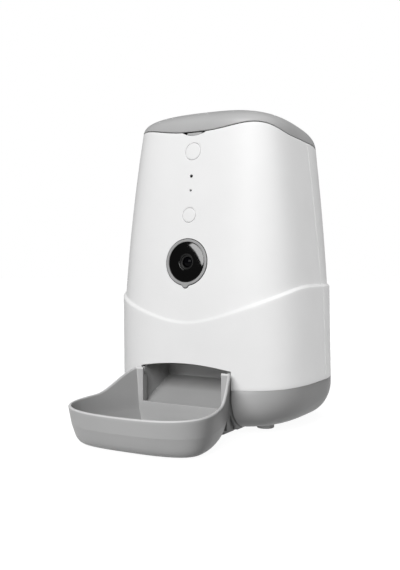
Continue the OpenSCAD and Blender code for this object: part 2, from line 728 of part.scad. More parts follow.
// Front half: rounded corners; rear half: the tapering side, then straight across the back
function bowl_point(a, front_in, side_in, back_in) =
  let (turn = abs(a), n = bowl_square + 0.03 * side_in, back = -bowl_back - back_in,
    y = -bowl_wide + (back + bowl_wide) * min((turn - 90) / 50, 1))
  turn <= 90
    ? [(bowl_half_w - side_in) * sign(a) * pow(sin(turn), 2 / n),
       -bowl_wide - (bowl_reach - front_in - bowl_wide) * pow(cos(turn), 2 / n)]
    : [(bowl_side(y) - side_in) * sign(a) * min((180 - turn) / 40, 1), y];
function bowl_row(front_in, side_in, back_in, z) =
  [for (a = full_turn) let (p = bowl_point(a, front_in, side_in, back_in)) [p[0], p[1], z]];
function rim_row(d) = [for (a = full_turn)
  let (p = bowl_point(a, d, d, d), q = bowl_point(a, 0, 0, 0)) [p[0], p[1], rim_at(q[1])]];
cheek_z = 7.5;
cheek_in = chute_half - 12;
wing_z = bowl_z + tongue_t - 0.5;
wing_x = chute_half - 0.7;
wing_end = -rail_front - 1;
module bowl() {
  w = bowl_wall;
  root = -bowl_back - 1.5;
  rows = [
    bowl_row(bowl_low_front + 7, bowl_low_side + 7, 7, bowl_z),
    bowl_row(bowl_low_front + 2.4, bowl_low_side + 2.4, 3, bowl_z + 2),
    bowl_row(bowl_low_front * 0.8, bowl_low_side * 0.8, 1, bowl_z + 7),
    bowl_row(bowl_low_front * 0.36, bowl_low_side * 0.4, 0, bowl_crease_z),
    rim_row(0), rim_row(w),
    bowl_row(bowl_low_front * 0.36 + w, bowl_low_side * 0.4 + w, w, bowl_crease_z + 1),
    bowl_row(bowl_low_front * 0.8 + w, bowl_low_side * 0.8 + w, w + 1, bowl_z + 8),
    bowl_row(bowl_low_front + 7 + w, bowl_low_side + 7 + w, w + 6, bowl_z + tongue_t)
  ];
  color(grey) difference() {
    union() {
      skin(rows, true, false);
      span([-tongue_half, -bowl_back - 10, bowl_z],
        [tongue_half, -bowl_back + tongue_len, bowl_z + tongue_t]);
      both_sides() {
        span([cheek_in, root, cheek_z], [outlet_half_w - 0.7, -chute_front - 0.6, rim_high - 7]);
        span([chute_half - 3.2, root, wing_z], [wing_x, wing_end, ramp_low_z - ramp_t - 2]);
        span([tongue_half - 2, root, wing_z], [wing_x, wing_end, wing_z + 2]);
      }
    }
    span([-lip_cut, -bowl_back - 9, ramp_low_z + 1.2], [lip_cut, -bowl_back + 5, rim_high + 5]);
  }
}

// Lid: one dome, fuller at the front, that the wavy line trims, with its hinge knuckle
dome_low = shoulder_z - 1.87;
dome_tilt = 0.053;
dome_front = 2;
dome_rear = 1.24;
dome_round = 0.81;
dome_bend = [1.85, 1.27, 1.51];
crown_turn = 83;
function lid_row(share, inset, drop) = [for (a = full_turn)
  let (low = lid_line(a) + lid_gap, s = up_size(low), q = square_at(low),
    y = plan_point(a, up_size(shoulder_z), square_at(shoulder_z), 0)[1],
    foot = min(dome_low - dome_tilt * y, low), rise = lid_top - foot,
    p = dome_front + (dome_rear - dome_front) * smooth((y + 80) / 160),
    start = asin(pow((low - foot) / rise, p)), turn = start + (crown_turn - start) * share,
    c = cos(turn) / cos(start))
  plan_point(a, [for (i = [0:2]) max(1, s[i] * pow(c, dome_bend[i]) - inset)],
    [q[0] + (2 - q[0]) * dome_round * (sin(turn) - sin(start)), q[1]],
    (share == 1 ? lid_top : foot + rise * pow(sin(turn), 1 / p)) - drop)];
module lid() {
  rows = concat(
    [for (share = [1, 0.8, 0.6, 0.42, 0.28, 0.16, 0.07]) lid_row(share, lid_wall, lid_wall)],
    [lid_row(0, lid_wall, 0)],
    [for (share = [0, 0.04, 0.1, 0.2, 0.32, 0.46, 0.6, 0.74, 0.88, 1]) lid_row(share, 0, 0)]
  );
  color(grey) difference() {
    union() {
      skin(rows, true, false);
      along_x(hinge_y, hinge_z) rod(knuckle_r, -knuckle_half, knuckle_half);
      span([-knuckle_half, web_y + 0.6, hinge_z + lid_gap], [knuckle_half, hinge_y, hinge_z + knuckle_r]);
    }
    along_x(hinge_y, hinge_z) rod(hinge_pin_r + run_fit, -knuckle_half - 1, knuckle_half + 1);
  }
}
liner_z = shoulder_z - 3;
liner_t = 2;
liner_edge = lid_wall + 2.5;
liner_posts = [45, 135];
liner_post_share = 0.6;
liner_post_r = 3;
module lid_liner() {
  post_row = lid_row(liner_post_share, lid_wall, lid_wall);
  color(natural) union() {
    plan_plate(shrink(up_size(liner_z), liner_edge), square_at(liner_z), liner_z, liner_z + liner_t);
    both_sides() for (a = liner_posts) {
      p = post_row[round((a + 180) / 360 * columns)];
      translate([p[0], p[1], 0]) rod(liner_post_r, liner_z + 1, p[2] - 2.4);
    }
  }
}
seal_w = 3;
module lid_seal() {
  size = rim_size(1);
  color("lightgray") difference() {
    plan_plate(size, square_at(hopper_z), hopper_z + seat, liner_z);
    plan_plate(shrink(size, seal_w), square_at(hopper_z), hopper_z, liner_z + 1);
  }
}
cup_wall = 1.8;
cap_t = 2;
module desiccant_cup() {
  color(white) difference() {
    rod(cup_r, liner_z - cup_h, liner_z);
    rod(cup_r - cup_wall, liner_z - cup_h - 1, liner_z - cup_wall);
  }
}
module desiccant_cap() {
  color(white) difference() {
    rod(cup_r - cup_wall - 0.2, liner_z - cup_h, liner_z - cup_h + cap_t);
    for (i = [-2:2]) translate([i * cup_r / 4, 0, liner_z - cup_h])
      cube([2.4, cup_r, 3 * cap_t], center = true);
  }
}
// Latch tab in the notch of the front shell, pressed in to free the lid
tab_face = -front_y(lid_line(0)) - 0.2;
tab_deep = 7.8;
tab_stem = 1.6;
module latch_tab() {
  low = lid_line(0) - tab_drop + 0.35;
  color("lightgray") {
    intersection() {
      span([-tab_half_w, -tab_face, low], [tab_half_w, -tab_face + tab_deep, lid_line(0) - 0.4]);
      latch_arc(notch_r - 0.35);
    }
    span([-tab_half_w + 2, -tab_face + tab_deep - tab_stem, low + 2],
      [tab_half_w - 2, -tab_face + tab_deep, low + 8]);
  }
}

// Camera, set in its bezel on the front shell
bezel_proud = 1.2;
bezel_post_r = 2;
bezel_post_x = spigot_r - 2.2;
camera_depth = 15;
barrel_depth = 13;
lens_r = barrel_r - 2;
lens_round = 7;
module camera_bezel() {
  color("gray") at_front(camera_z) {
    difference() {
      union() {
        rod(bezel_r, -bezel_seat, bezel_proud);
        translate([0, -lobe_y, 0]) rod(lobe_r, -bezel_seat, bezel_proud);
        rod(spigot_r, -6, 0);
        for (side = [-1, 1]) translate([side * bezel_post_x, 0, 0]) rod(bezel_post_r, -camera_depth, -4);
      }
      rod(window_r + 0.1, -2.6, 5);
      difference() {
        rod(window_r - 2, -7, 0);
        for (side = [-1, 1]) translate([side * bezel_post_x, 0, 0]) rod(bezel_post_r, -8, 0);
      }
    }
  }
}
module camera_window() {
  color(black) at_front(camera_z) difference() {
    rod(window_r, -2.6, 0.3);
    rod(barrel_r + 0.1, -5, 5);
  }
}
module lens_barrel() {
  color(black) at_front(camera_z) difference() {
    rod(barrel_r, -barrel_depth, 0.1);
    rod(lens_r + 0.02, -4, 5);
    translate([0, 0, -1.2]) cylinder(r1 = lens_r, r2 = barrel_r - 0.6, h = 1.4);
  }
}
module lens_glass() {
  color("darkslategray") at_front(camera_z) intersection() {
    rod(lens_r, -4, 0);
    translate([0, 0, -0.9 - lens_round]) sphere(r = lens_round);
  }
}
module camera_board() {
  color(green) at_front(camera_z) {
    rod(spigot_r - 0.4, -camera_depth - 1.6, -camera_depth);
    rod(barrel_r + 2, -camera_depth - eps, -barrel_depth);
  }
}

// Buttons, their board, the light pipe and the microphone
module push_button(r) {
  rod(r, -wall - 1.4, 0.2);
  rod(r + 1.4, -wall - 2.2, -wall - 0.8);
  rod(2.5, -panel_depth + 1.9 + press + 0.4, -wall - 1);
}
module feed_button() {
  color(white) at_front(feed_z) push_button(feed_r);
}
module pair_button() {
  color(white) at_front(pair_z) push_button(pair_r);
}
board_t = 1.6;
module button_board() {
  reach = (feed_z - pair_z) / 2 + 3.5;
  color(green) at_front(panel_z)
    span([-11, -reach - 6, -panel_depth - board_t], [11, reach, -panel_depth]);
}
module tact_switches() {
  half = (feed_z - pair_z) / 2;
  color(black) at_front(panel_z) for (side = [-1, 1]) translate([0, side * half, -panel_depth]) {
    span([-3, -3, 0], [3, 3, 1.5]);
    rod(1.6, 0, 1.9);
  }
}
module light_pipe() {
  color("white") at_front(panel_z) translate([0, light_z - panel_z, 0]) rod(light_r, -panel_depth, -0.2);
}
module microphone() {
  color(black) at_front(panel_z) translate([0, mic_z - panel_z, 0]) rod(3, -panel_depth, -wall - 1.5);
}

// Main board on the base standoffs, speaker behind the grille, power inlet at the back
module main_board() {
  top = floor_z + standoff_h;
  color(green) difference() {
    union() {
      span([-board_half[0], board_y - board_half[1], top],
        [board_half[0], board_y + board_half[1], top + board_t]);
      span([-30, board_y - 18, top + eps], [-12, board_y + 8, top + board_t + 3]);
      span([0, board_y - 10, top + eps], [14, board_y + 4, top + board_t + 1.4]);
      span([18, board_y + 8, top + eps], [34, board_y + 18, top + board_t + 8]);
      for (i = [0:2]) translate([22 + 9 * (i % 2), board_y - 16 + 8 * i, 0])
        rod(4, top + eps, top + board_t + 11);
    }
    for (p = standoffs) translate([p[0], p[1], 0]) rod(board_screw_r + run_fit, top - 1, top + board_t + 12);
  }
}
module board_screws() {
  color(steel) for (p = standoffs) translate([p[0], p[1], floor_z + standoff_h + board_t])
    screw(2.2, 1.6, board_screw_r, standoff_h + board_t - 2);
}
speaker_y = body_rear - wall - 4.6;
module speaker() {
  color(black) translate([0, speaker_y, speaker_z]) rotate([90, 0, 0]) {
    rod(speaker_r, 0, 2);
    translate([0, 0, 2 - eps]) cylinder(r1 = speaker_r - 2, r2 = speaker_r * 0.55, h = 4);
    rod(speaker_r * 0.55, 5, 9);
  }
}
inlet_r = 4.6;
inlet_bore_r = 2.9;
inlet_len = 14;
module power_inlet() {
  rise = (base_z + base_round_up - inlet_z) / base_round_up;
  face = body_rear - base_round_in * (1 - sqrt(1 - pow(rise, 2)));
  color(black) translate([0, face - 0.6, inlet_z]) rotate([90, 0, 0]) {
    difference() {
      union() {
        rod(inlet_r, 0, inlet_len);
        rod(inlet_r + 2.4, base_wall + 5.3, base_wall + 7.5);
      }
      rod(inlet_bore_r, -1, inlet_len - 3);
    }
    rod(1, 1, inlet_len - 1);
  }
}

in_frame() base_shell();
in_frame() rubber_feet();
in_frame() chassis_deck();
in_frame() deck_screws();
in_frame() front_shell();
in_frame() rear_shell();
in_frame() hopper();
in_frame() dispenser_housing();
in_frame() dispenser_screws();
in_frame() shaft_bushes();
in_frame() rotor_shaft();
in_frame() paddle_rotor();
in_frame() index_cam();
in_frame() index_switch();
in_frame() drive_gear();
in_frame() idler_gear();
in_frame() idler_axle();
in_frame() motor_pinion();
in_frame() gear_motor();
in_frame() motor_screws();
in_frame() gear_cover();
in_frame() chute();
in_frame() bowl();
in_frame() lid();
in_frame() lid_liner();
in_frame() lid_seal();
in_frame() desiccant_cup();
in_frame() desiccant_cap();
in_frame() latch_tab();
in_frame() hinge_pin();
in_frame() camera_bezel();
in_frame() camera_window();
in_frame() lens_barrel();
in_frame() lens_glass();
in_frame() camera_board();
in_frame() feed_button();
in_frame() pair_button();
in_frame() button_board();
in_frame() tact_switches();
in_frame() light_pipe();
in_frame() microphone();
in_frame() main_board();
in_frame() board_screws();
in_frame() speaker();
in_frame() power_inlet();
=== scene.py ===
"""Automatic pet feeder with camera: the finished look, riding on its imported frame."""

import math

import bpy
import bmesh
import numpy as np
from mathutils import Matrix, Vector


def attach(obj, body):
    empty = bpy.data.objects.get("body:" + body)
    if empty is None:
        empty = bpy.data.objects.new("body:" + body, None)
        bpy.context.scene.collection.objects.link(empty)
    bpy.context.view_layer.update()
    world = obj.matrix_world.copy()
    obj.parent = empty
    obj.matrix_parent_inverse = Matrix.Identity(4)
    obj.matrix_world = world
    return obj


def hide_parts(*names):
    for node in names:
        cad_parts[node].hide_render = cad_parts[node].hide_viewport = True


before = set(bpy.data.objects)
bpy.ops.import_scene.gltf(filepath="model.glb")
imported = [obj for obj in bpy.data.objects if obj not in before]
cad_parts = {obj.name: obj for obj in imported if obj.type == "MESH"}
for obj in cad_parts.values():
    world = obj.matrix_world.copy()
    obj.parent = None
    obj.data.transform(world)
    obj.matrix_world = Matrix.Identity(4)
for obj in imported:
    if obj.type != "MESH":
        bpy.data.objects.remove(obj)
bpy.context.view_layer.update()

# Rubber feet: four grey silicone pads with a rounded lower edge and a hollow underneath, each pushed
# into a hole in the underside of the base by a small peg. Sizes here and below are in millimetres.
MM = 0.001
PARTING_Y = 57.0  # the parting plane of the housing lies this far behind the frame's origin
AXIS = 0.02  # a turned profile starts and ends this close to its axis
FOOT_R, FOOT_H, FOOT_EDGE = 8.2, 5.5, 0.9
HOLLOW_R, HOLLOW_H, HOLLOW_DRAFT = 5.0, 0.5, 0.4
PEG_R, PEG_H = 2.5, 1.5
FOOT_SPOTS = [(-54, -50), (54, -50), (-38, 40), (38, 40)]
CLOUD_MM, GRAIN_DEEP_MM, SHINE_SPREAD = 45.5, 0.05, 0.04


def linear(hex_colour):
    """sRGB hex to the linear RGBA that the shader sockets take."""
    parts = [int(hex_colour[i:i + 2], 16) / 255 for i in (1, 3, 5)]
    return [c / 12.92 if c <= 0.04045 else ((c + 0.055) / 1.055) ** 2.4 for c in parts] + [1]


def node(tree, kind, inputs=None, **settings):
    """Adds a node with its settings; an input is a value or another node's output."""
    made = tree.nodes.new(kind)
    for key, value in settings.items():
        setattr(made, key, value)
    for key, value in (inputs or {}).items():
        if isinstance(value, bpy.types.NodeSocket):
            tree.links.new(value, made.inputs[key])
        else:
            made.inputs[key].default_value = value
    return made


def moulded(name, pale, deep, rough, grain_mm, relief, ior=1.5):
    """Moulded plastic or rubber: two close tones in broad clouds, and the fine grain of the
    tool's eroded face as bump. The grain is drawn coarser than life, so that it shows."""
    material = bpy.data.materials.new(name)
    material.use_nodes = True
    tree = material.node_tree
    shader = tree.nodes["Principled BSDF"]
    place = node(tree, "ShaderNodeTexCoord").outputs["Object"]
    clouds = node(tree, "ShaderNodeTexNoise", {
        "Vector": place, "Scale": 1 / (CLOUD_MM * MM), "Detail": 3.0})
    tone = node(tree, "ShaderNodeValToRGB", {"Fac": clouds.outputs["Fac"]})
    for stop, position, colour in zip(tone.color_ramp.elements, (0.3, 0.7), (deep, pale)):
        stop.position, stop.color = position, linear(colour)
    grain = node(tree, "ShaderNodeTexNoise", {
        "Vector": place, "Scale": 1 / (grain_mm * MM), "Detail": 2.0})
    shine = node(tree, "ShaderNodeMapRange", {
        "Value": grain.outputs["Fac"], "To Min": rough - SHINE_SPREAD, "To Max": rough + SHINE_SPREAD})
    bump = node(tree, "ShaderNodeBump", {
        "Height": grain.outputs["Fac"], "Strength": relief, "Distance": GRAIN_DEEP_MM * MM})
    tree.links.new(tone.outputs["Color"], shader.inputs["Base Color"])
    tree.links.new(shine.outputs["Result"], shader.inputs["Roughness"])
    tree.links.new(bump.outputs["Normal"], shader.inputs["Normal"])
    shader.inputs["IOR"].default_value = ior
    return material


def turn_outward(mesh):
    """Makes every face of a closed mesh point outwards."""
    work = bmesh.new()
    work.from_mesh(mesh)
    bmesh.ops.recalc_face_normals(work, faces=work.faces)
    work.to_mesh(mesh)
    work.free()


def soften(piece, angle=32):
    """Shades a piece smooth but for the edges that turn by more than the angle."""
    piece.data.shade_smooth()
    piece.data.set_sharp_from_angle(angle=math.radians(angle))
    return piece


def mesh_piece(name, points, faces, material):
    """A mesh from points in millimetres about the parting plane, smooth but for its sharp edges."""
    mesh = bpy.data.meshes.new(name)
    places = (np.asarray(points, float) + [0, PARTING_Y, 0]) * MM
    mesh.from_pydata(places.tolist(), [], faces)
    turn_outward(mesh)
    mesh.materials.append(material)
    made = bpy.data.objects.new(name, mesh)
    bpy.context.scene.collection.objects.link(made)
    return soften(made)


def loft(rows, ring=True, loop=False):
    """Points and faces of a skin over rows of points. ring: the columns join up; loop: the rows
    join up; what does not join up is closed by a face at each end."""
    rows = np.asarray(rows, float)
    m, n = rows.shape[:2]
    faces = []
    for i in range(m if loop else m - 1):
        above = (i + 1) % m
        for j in range(n if ring else n - 1):
            beside = (j + 1) % n
            faces.append((i * n + j, i * n + beside, above * n + beside, above * n + j))
    if not loop:
        faces += [tuple(range(n - 1, -1, -1)), tuple(range((m - 1) * n, m * n))]
    elif not ring:
        faces += [tuple(i * n for i in range(m)), tuple(i * n + n - 1 for i in range(m - 1, -1, -1))]
    return rows.reshape(-1, 3), faces


def lathe(profile, count=96):
    """Points and faces of a turned shape about local Z; the profile runs from axis to axis,
    or comes back to its start for a ring."""
    turn = np.radians(np.arange(count) * 360 / count)
    rows = [np.stack([r * np.cos(turn), r * np.sin(turn), np.full(count, z)], 1) for r, z in profile]
    return loft(rows, True, profile[0][0] > AXIS)


def rounded(r, low, high, edge, steps=5):
    """Profile of a disc with both outer edges rounded, from the axis up to the axis."""
    arc = [math.radians(90 * k / steps) for k in range(steps + 1)]
    under = [(r - edge + edge * math.sin(t), low + edge - edge * math.cos(t)) for t in arc]
    over = [(r - edge + edge * math.cos(t), high - edge + edge * math.sin(t)) for t in arc]
    return [(AXIS, low)] + under + over + [(AXIS, high)]


def bake(piece):
    """Turns the modifiers of a piece into its mesh."""
    graph = bpy.context.evaluated_depsgraph_get()
    result = bpy.data.meshes.new_from_object(piece.evaluated_get(graph))
    piece.modifiers.clear()
    old, piece.data = piece.data, result
    bpy.data.meshes.remove(old)
    return soften(piece)


def repeat_tree():
    """Geometry Nodes: sets one small piece on every point of a mesh, turned and sized alike."""
    tree = bpy.data.node_groups.new("set on points", "GeometryNodeTree")
    face = tree.interface
    face.new_socket("Spots", in_out="INPUT", socket_type="NodeSocketGeometry")
    face.new_socket("Piece", in_out="INPUT", socket_type="NodeSocketObject")
    face.new_socket("Turn", in_out="INPUT", socket_type="NodeSocketRotation")
    face.new_socket("Size", in_out="INPUT", socket_type="NodeSocketFloat").default_value = 1.0
    face.new_socket("Finish", in_out="INPUT", socket_type="NodeSocketMaterial")
    face.new_socket("Set", in_out="OUTPUT", socket_type="NodeSocketGeometry")
    given = tree.nodes.new("NodeGroupInput").outputs
    piece = node(tree, "GeometryNodeObjectInfo", {"Object": given["Piece"]})
    spread = node(tree, "GeometryNodeInstanceOnPoints", {
        "Points": given["Spots"], "Instance": piece.outputs["Geometry"],
        "Rotation": given["Turn"], "Scale": given["Size"]})
    solid = node(tree, "GeometryNodeRealizeInstances", {"Geometry": spread.outputs["Instances"]})
    finish = node(tree, "GeometryNodeSetMaterial", {
        "Geometry": solid.outputs["Geometry"], "Material": given["Finish"]})
    node(tree, "NodeGroupOutput", {"Set": finish.outputs["Geometry"]})
    return tree


set_on_points = repeat_tree()


def repeated(name, shape, spots, material, turn=(0, 0, 0)):
    """One piece that holds a copy of a small shape at each spot, by the tree above."""
    points, faces = shape
    mesh = bpy.data.meshes.new(name + "_one")
    mesh.from_pydata((points * MM).tolist(), [], faces)
    turn_outward(mesh)
    one = bpy.data.objects.new(name + "_one", mesh)
    bpy.context.scene.collection.objects.link(one)
    made = mesh_piece(name, spots, [], material)
    modifier = made.modifiers.new("set", "NODES")
    modifier.node_group = set_on_points
    keys = {item.name: item.identifier for item in set_on_points.interface.items_tree}
    modifier[keys["Piece"]] = one
    modifier[keys["Turn"]] = [math.radians(t) for t in turn]
    modifier[keys["Finish"]] = material
    bake(made)
    bpy.data.objects.remove(one)
    return made


def dress(piece, body, cad_node):
    """Ties a finished piece to its body and hides the CAD node it stands for."""
    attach(piece, body)
    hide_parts(cad_node)
    return piece


# Silicone from a blasted tool: pale, dull and without a sharp highlight.
silicone = moulded("grey silicone", "#C6C6C6", "#BCBCBC", 0.6, 0.7, 0.25, 1.41)
hollow = [(AXIS, HOLLOW_H), (HOLLOW_R - HOLLOW_DRAFT, HOLLOW_H), (HOLLOW_R, 0.0)]
peg = [(PEG_R, FOOT_H), (PEG_R, FOOT_H + PEG_H), (AXIS, FOOT_H + PEG_H)]
foot = lathe(hollow + rounded(FOOT_R, 0, FOOT_H, FOOT_EDGE)[1:-1] + peg)
feet = repeated("rubber_feet", foot, [(x, y, 0) for x, y in FOOT_SPOTS], silicone)
dress(feet, "housing", "rubber_feet")

# Base: a grey ABS tray with a swept bottom edge, moulded in one piece. It stands on the feet, is
# open at the front for the chute and the tongue of the bowl, and its lip locates the shells.
BODY = (95.0, 110.0, 98.0)  # half width, reach to the front, reach to the rear
BODY_SQUARE = (3.5, 1.85)  # squareness of the plan curve before and behind the parting plane
BASE_Z, BASE_FLOOR, BASE_WALL = 5.5, 1.5, 4.5
SWEEP_IN, SWEEP_UP = 26.0, 30.5
SEAM_Z, SEAM_EDGE, LIP_IN, LIP_H = 42.0, 0.4, 2.8, 3.0
RECESS_HALF, RECESS_Y = 47.5, -62.0
POST_R, POST_BORE, POST_TOP, POST_EDGE = 4.5, 1.5, 63.0, 0.4
STANDOFF_R, STANDOFF_BORE, STANDOFF_TOP = 3.0, 1.15, 12.0
STANDOFF_SPOTS = [(x, y) for x in (-38, 38) for y in (-18, 26)]
ROOT_Z = 6.6  # posts and standoffs start inside the floor of the base
INLET_Z, INLET_Y, INLET_R, INLET_LEN = 25.0, 70.0, 4.9, 40.0
CLEAR = 10.0  # a cutter reaches this far past what it cuts


def plan(heading, size, square):
    """Plan curve at a heading in degrees (0 is the front): its own squareness before and behind."""
    s, c = np.sin(np.radians(heading)), np.cos(np.radians(heading))
    n = np.where(c >= 0, square[0], square[1])
    x = size[0] * np.sign(s) * np.abs(s) ** (2 / n)
    y = np.where(c >= 0, -size[1], size[2]) * np.abs(c) ** (2 / n)
    return x, y


def even_headings(count, low=-180.0, high=180.0):
    """Headings whose points lie evenly along the plan curve of the base."""
    fine = np.linspace(low, high, 60001)
    x, y = plan(fine, BODY, BODY_SQUARE)
    run = np.concatenate([[0], np.cumsum(np.hypot(np.diff(x), np.diff(y)))])
    return np.interp(np.linspace(0, run[-1], count), run, fine)


def shrunk(size, d):
    """A size drawn in by the same distance all round."""
    return [s - d for s in size]


def plan_row(heading, size, square, z):
    """A row of points along the plan curve, at one height or at a height for each heading."""
    x, y = plan(heading, size, square)
    return np.stack([x, y, np.broadcast_to(np.asarray(z, float), x.shape)], 1)


def placed(shape, matrix):
    """Moves the points of a shape by a 4 x 4 matrix in millimetres."""
    points, faces = shape
    matrix = np.array(matrix)
    return points @ matrix[:3, :3].T + matrix[:3, 3], faces


def joined(*shapes):
    """Several closed shapes as one."""
    points, faces, start = [], [], 0
    for shape_points, shape_faces in shapes:
        points.append(np.asarray(shape_points, float))
        faces += [tuple(i + start for i in face) for face in shape_faces]
        start += len(shape_points)
    return np.concatenate(points), faces


def cut(piece, shape, operation="DIFFERENCE"):
    """Takes a closed shape, or another piece, out of a piece, or adds it."""
    ready = isinstance(shape, bpy.types.Object)
    tool = shape if ready else mesh_piece("tool", *shape, piece.data.materials[0])
    change = piece.modifiers.new("cut", "BOOLEAN")
    change.object, change.operation, change.solver = tool, operation, "EXACT"
    bake(piece)
    bpy.data.objects.remove(tool)
    return piece


def block(low, high):
    """Points and faces of a box."""
    x, y, z = zip(low, high)
    rows = [[(x[0], y[0], h), (x[1], y[0], h), (x[1], y[1], h), (x[0], y[1], h)] for h in z]
    return loft(rows)


def drum(r, low, high, count=96):
    """Points and faces of a plain cylinder about local Z."""
    return lathe([(AXIS, low), (r, low), (r, high), (AXIS, high)], count)


def swept(turn, low, inset):
    """A row of the swept bottom edge at a turn in degrees (90 is the flat underside)."""
    t = math.radians(turn)
    size = shrunk(BODY, inset + SWEEP_IN * (1 - math.cos(t)))
    return plan_row(around, size, BODY_SQUARE, low + SWEEP_UP * (1 - math.sin(t)))


def tube(r, bore, top, edge=0.0):
    """Points and faces of a bored post that grows out of the floor of the base."""
    rim = [(r - edge, top), (r, top - edge)] if edge else [(r, top)]
    return lathe([(bore, top)] + rim + [(r, ROOT_Z), (bore, ROOT_Z)], 48)


# Grey ABS from a lightly textured tool: satin, with a broad soft sheen.
grey_abs = moulded("grey moulded ABS", "#BBBBBB", "#B6B6B6", 0.42, 0.6, 0.12)
around = even_headings(321)[:-1]
base_rows = [swept(turn, BASE_Z, 0) for turn in np.linspace(90, 0, 25)]
base_rows += [plan_row(around, shrunk(BODY, inset), BODY_SQUARE, SEAM_Z + rise) for inset, rise in (
    (0, -SEAM_EDGE), (0.3 * SEAM_EDGE, -0.3 * SEAM_EDGE), (SEAM_EDGE, 0),
    (LIP_IN, 0), (LIP_IN, LIP_H), (BASE_WALL, LIP_H))]
base_rows += [swept(turn, BASE_Z + BASE_FLOOR, BASE_WALL) for turn in np.linspace(0, 90, 13)]
base = mesh_piece("base_shell", *loft(base_rows), grey_abs)
cut(base, block((-RECESS_HALF, -BODY[1] - CLEAR, -CLEAR), (RECESS_HALF, RECESS_Y, SEAM_Z + LIP_H + CLEAR)))
inlet_axis = Matrix.Translation((0, INLET_Y, INLET_Z)) @ Matrix.Rotation(math.radians(-90), 4, "X")
cut(base, placed(drum(INLET_R, 0, INLET_LEN, 64), inlet_axis))
stands = [placed(tube(POST_R, POST_BORE, POST_TOP, POST_EDGE), Matrix.Translation((x, y, 0)))
          for x, y in FOOT_SPOTS]
stands += [placed(tube(STANDOFF_R, STANDOFF_BORE, STANDOFF_TOP), Matrix.Translation((x, y, 0)))
           for x, y in STANDOFF_SPOTS]
cut(base, joined(*stands), "UNION")
dress(base, "housing", "base_shell")

# Shells: two white ABS halves that meet at the vertical parting plane, with a rounded edge along
# it. A wavy ledge runs round them; the front half carries the outlet, the camera and the buttons.
SHOULDER_Z, SHELL_WALL, SHELL_EDGE, SHELL_FOOT, PART_EDGE = 270.5, 2.5, 0.5, 0.3, 0.8
STEP_Z = 131.5  # the height at which the sizes below and above the ledge are given
LOW_DRAFT, STEP_IN = (3.0, 0.8, 0.8), (5.2, 4.0, 4.0)
UP_DRAFT, UP_SWELL, SQUARE_GAIN = (15.3, 15.8, 2.5), 3.6, (1.4, 0.28)
LEDGE_LOW, LEDGE_HIGH, LEDGE_TURN, LEDGE_BEND = 101.4, 133.8, 74.0, 0.82
LEDGE_UNDER, LEDGE_OVER = 3.1, 0.6
LID_WAVE, LID_TURN, LID_TILT, LID_GAP = 5.8, 72.0, 0.035, 0.8
OUTLET_HALF, OUTLET_SIDE_Z, OUTLET_TOP_Z, OUTLET_LOW_Z, OUTLET_Y = 47.0, 58.6, 63.3, 37.0, -60.0
FEED_Z, FEED_R, PAIR_Z, PAIR_R, BUTTON_GAP = 255.9, 7.8, 197.3, 6.6, 0.3
LIGHT_Z, LIGHT_R, MIC_Z, MIC_R = 233.0, 1.2, 219.8, 0.8
HOLE_IN, HOLE_OUT, HOLE_EDGE = 9.0, 6.0, 0.35
CAMERA_Z, CAMERA_BORE = 154.6, 19.3
BEZEL_R, LOBE_R, LOBE_Y, LOBE_FILLET, LOBE_SPAN = 21.0, 3.0, 20.4, 3.0, 13.0
BEZEL_GAP, BEZEL_SEAT = 0.7, -2.2
TAB_NOTCH, TAB_DROP, TAB_DEEP = 12.5, 3.2, 8.0
HINGE_Y, KNUCKLE_R, KNUCKLE_HALF, KNUCKLE_LEN = 95.0, 3.0, 8.0, 8.0
KNUCKLE_GAP, KNUCKLE_EDGE, EAR_ROOT_Y, EAR_DEEP = 0.3, 0.4, 88.4, 7.0
PIN_BORE, PIN_HALF = 1.55, 20.0
SPEAKER_Z, GRILLE_COUNT, GRILLE_PITCH = 92.0, 5, 5.0
GRILLE_HALF, GRILLE_HALF_WIDE, GRILLE_Y, GRILLE_DEEP = 9.6, 1.0, 96.0, 16.0
QUARTER = [math.radians(t) for t in (0, 30, 60, 90)]  # steps of a small rounded edge


def low_size(z):
    """Size of the plan below the ledge."""
    t = (z - SEAM_Z) / (STEP_Z - SEAM_Z)
    return [b - d * t for b, d in zip(BODY, LOW_DRAFT)]


def up_size(z):
    """Size of the plan above the ledge: it draws in towards the lid, with a slight swell."""
    t = (z - STEP_Z) / (SHOULDER_Z - STEP_Z)
    swell = UP_SWELL * t * (1 - t)
    return [b - s - d * t + swell for b, s, d in zip(BODY, STEP_IN, UP_DRAFT)]


def square_at(z):
    """Squareness of the plan, which grows with the height."""
    t = (z - SEAM_Z) / (SHOULDER_Z - SEAM_Z)
    return [n + gain * t for n, gain in zip(BODY_SQUARE, SQUARE_GAIN)]


def bearing(heading):
    """Degrees from straight ahead at which a heading's point is seen from the middle of the plan."""
    x, y = plan(heading, BODY, BODY_SQUARE)
    return np.abs(np.degrees(np.arctan2(x, -y)))


def wave_at(heading):
    """Height of the ledge, which climbs from the front to the sides."""
    climb = np.minimum(bearing(heading) / LEDGE_TURN, 1) ** LEDGE_BEND
    return LEDGE_LOW + (LEDGE_HIGH - LEDGE_LOW) * (1 - np.cos(np.pi * climb)) / 2


def lid_line(heading):
    """Height of the shells' top edge: a wave on each side, tilted down towards the rear."""
    y = plan(heading, up_size(SHOULDER_Z), square_at(SHOULDER_Z))[1]
    rise = np.minimum(bearing(heading) / LID_TURN, 1)
    return SHOULDER_Z + LID_WAVE * (1 - np.cos(2 * np.pi * rise)) / 2 - LID_TILT * y


def front_frame(z):
    """Matrix of a place on the front centre line: local Z points out of the shell, local Y up it."""
    tilt = math.atan((up_size(z - 1)[1] - up_size(z + 1)[1]) / 2)
    return Matrix.Translation((0, -up_size(z)[1], z)) @ Matrix.Rotation(math.pi / 2 - tilt, 4, "X")


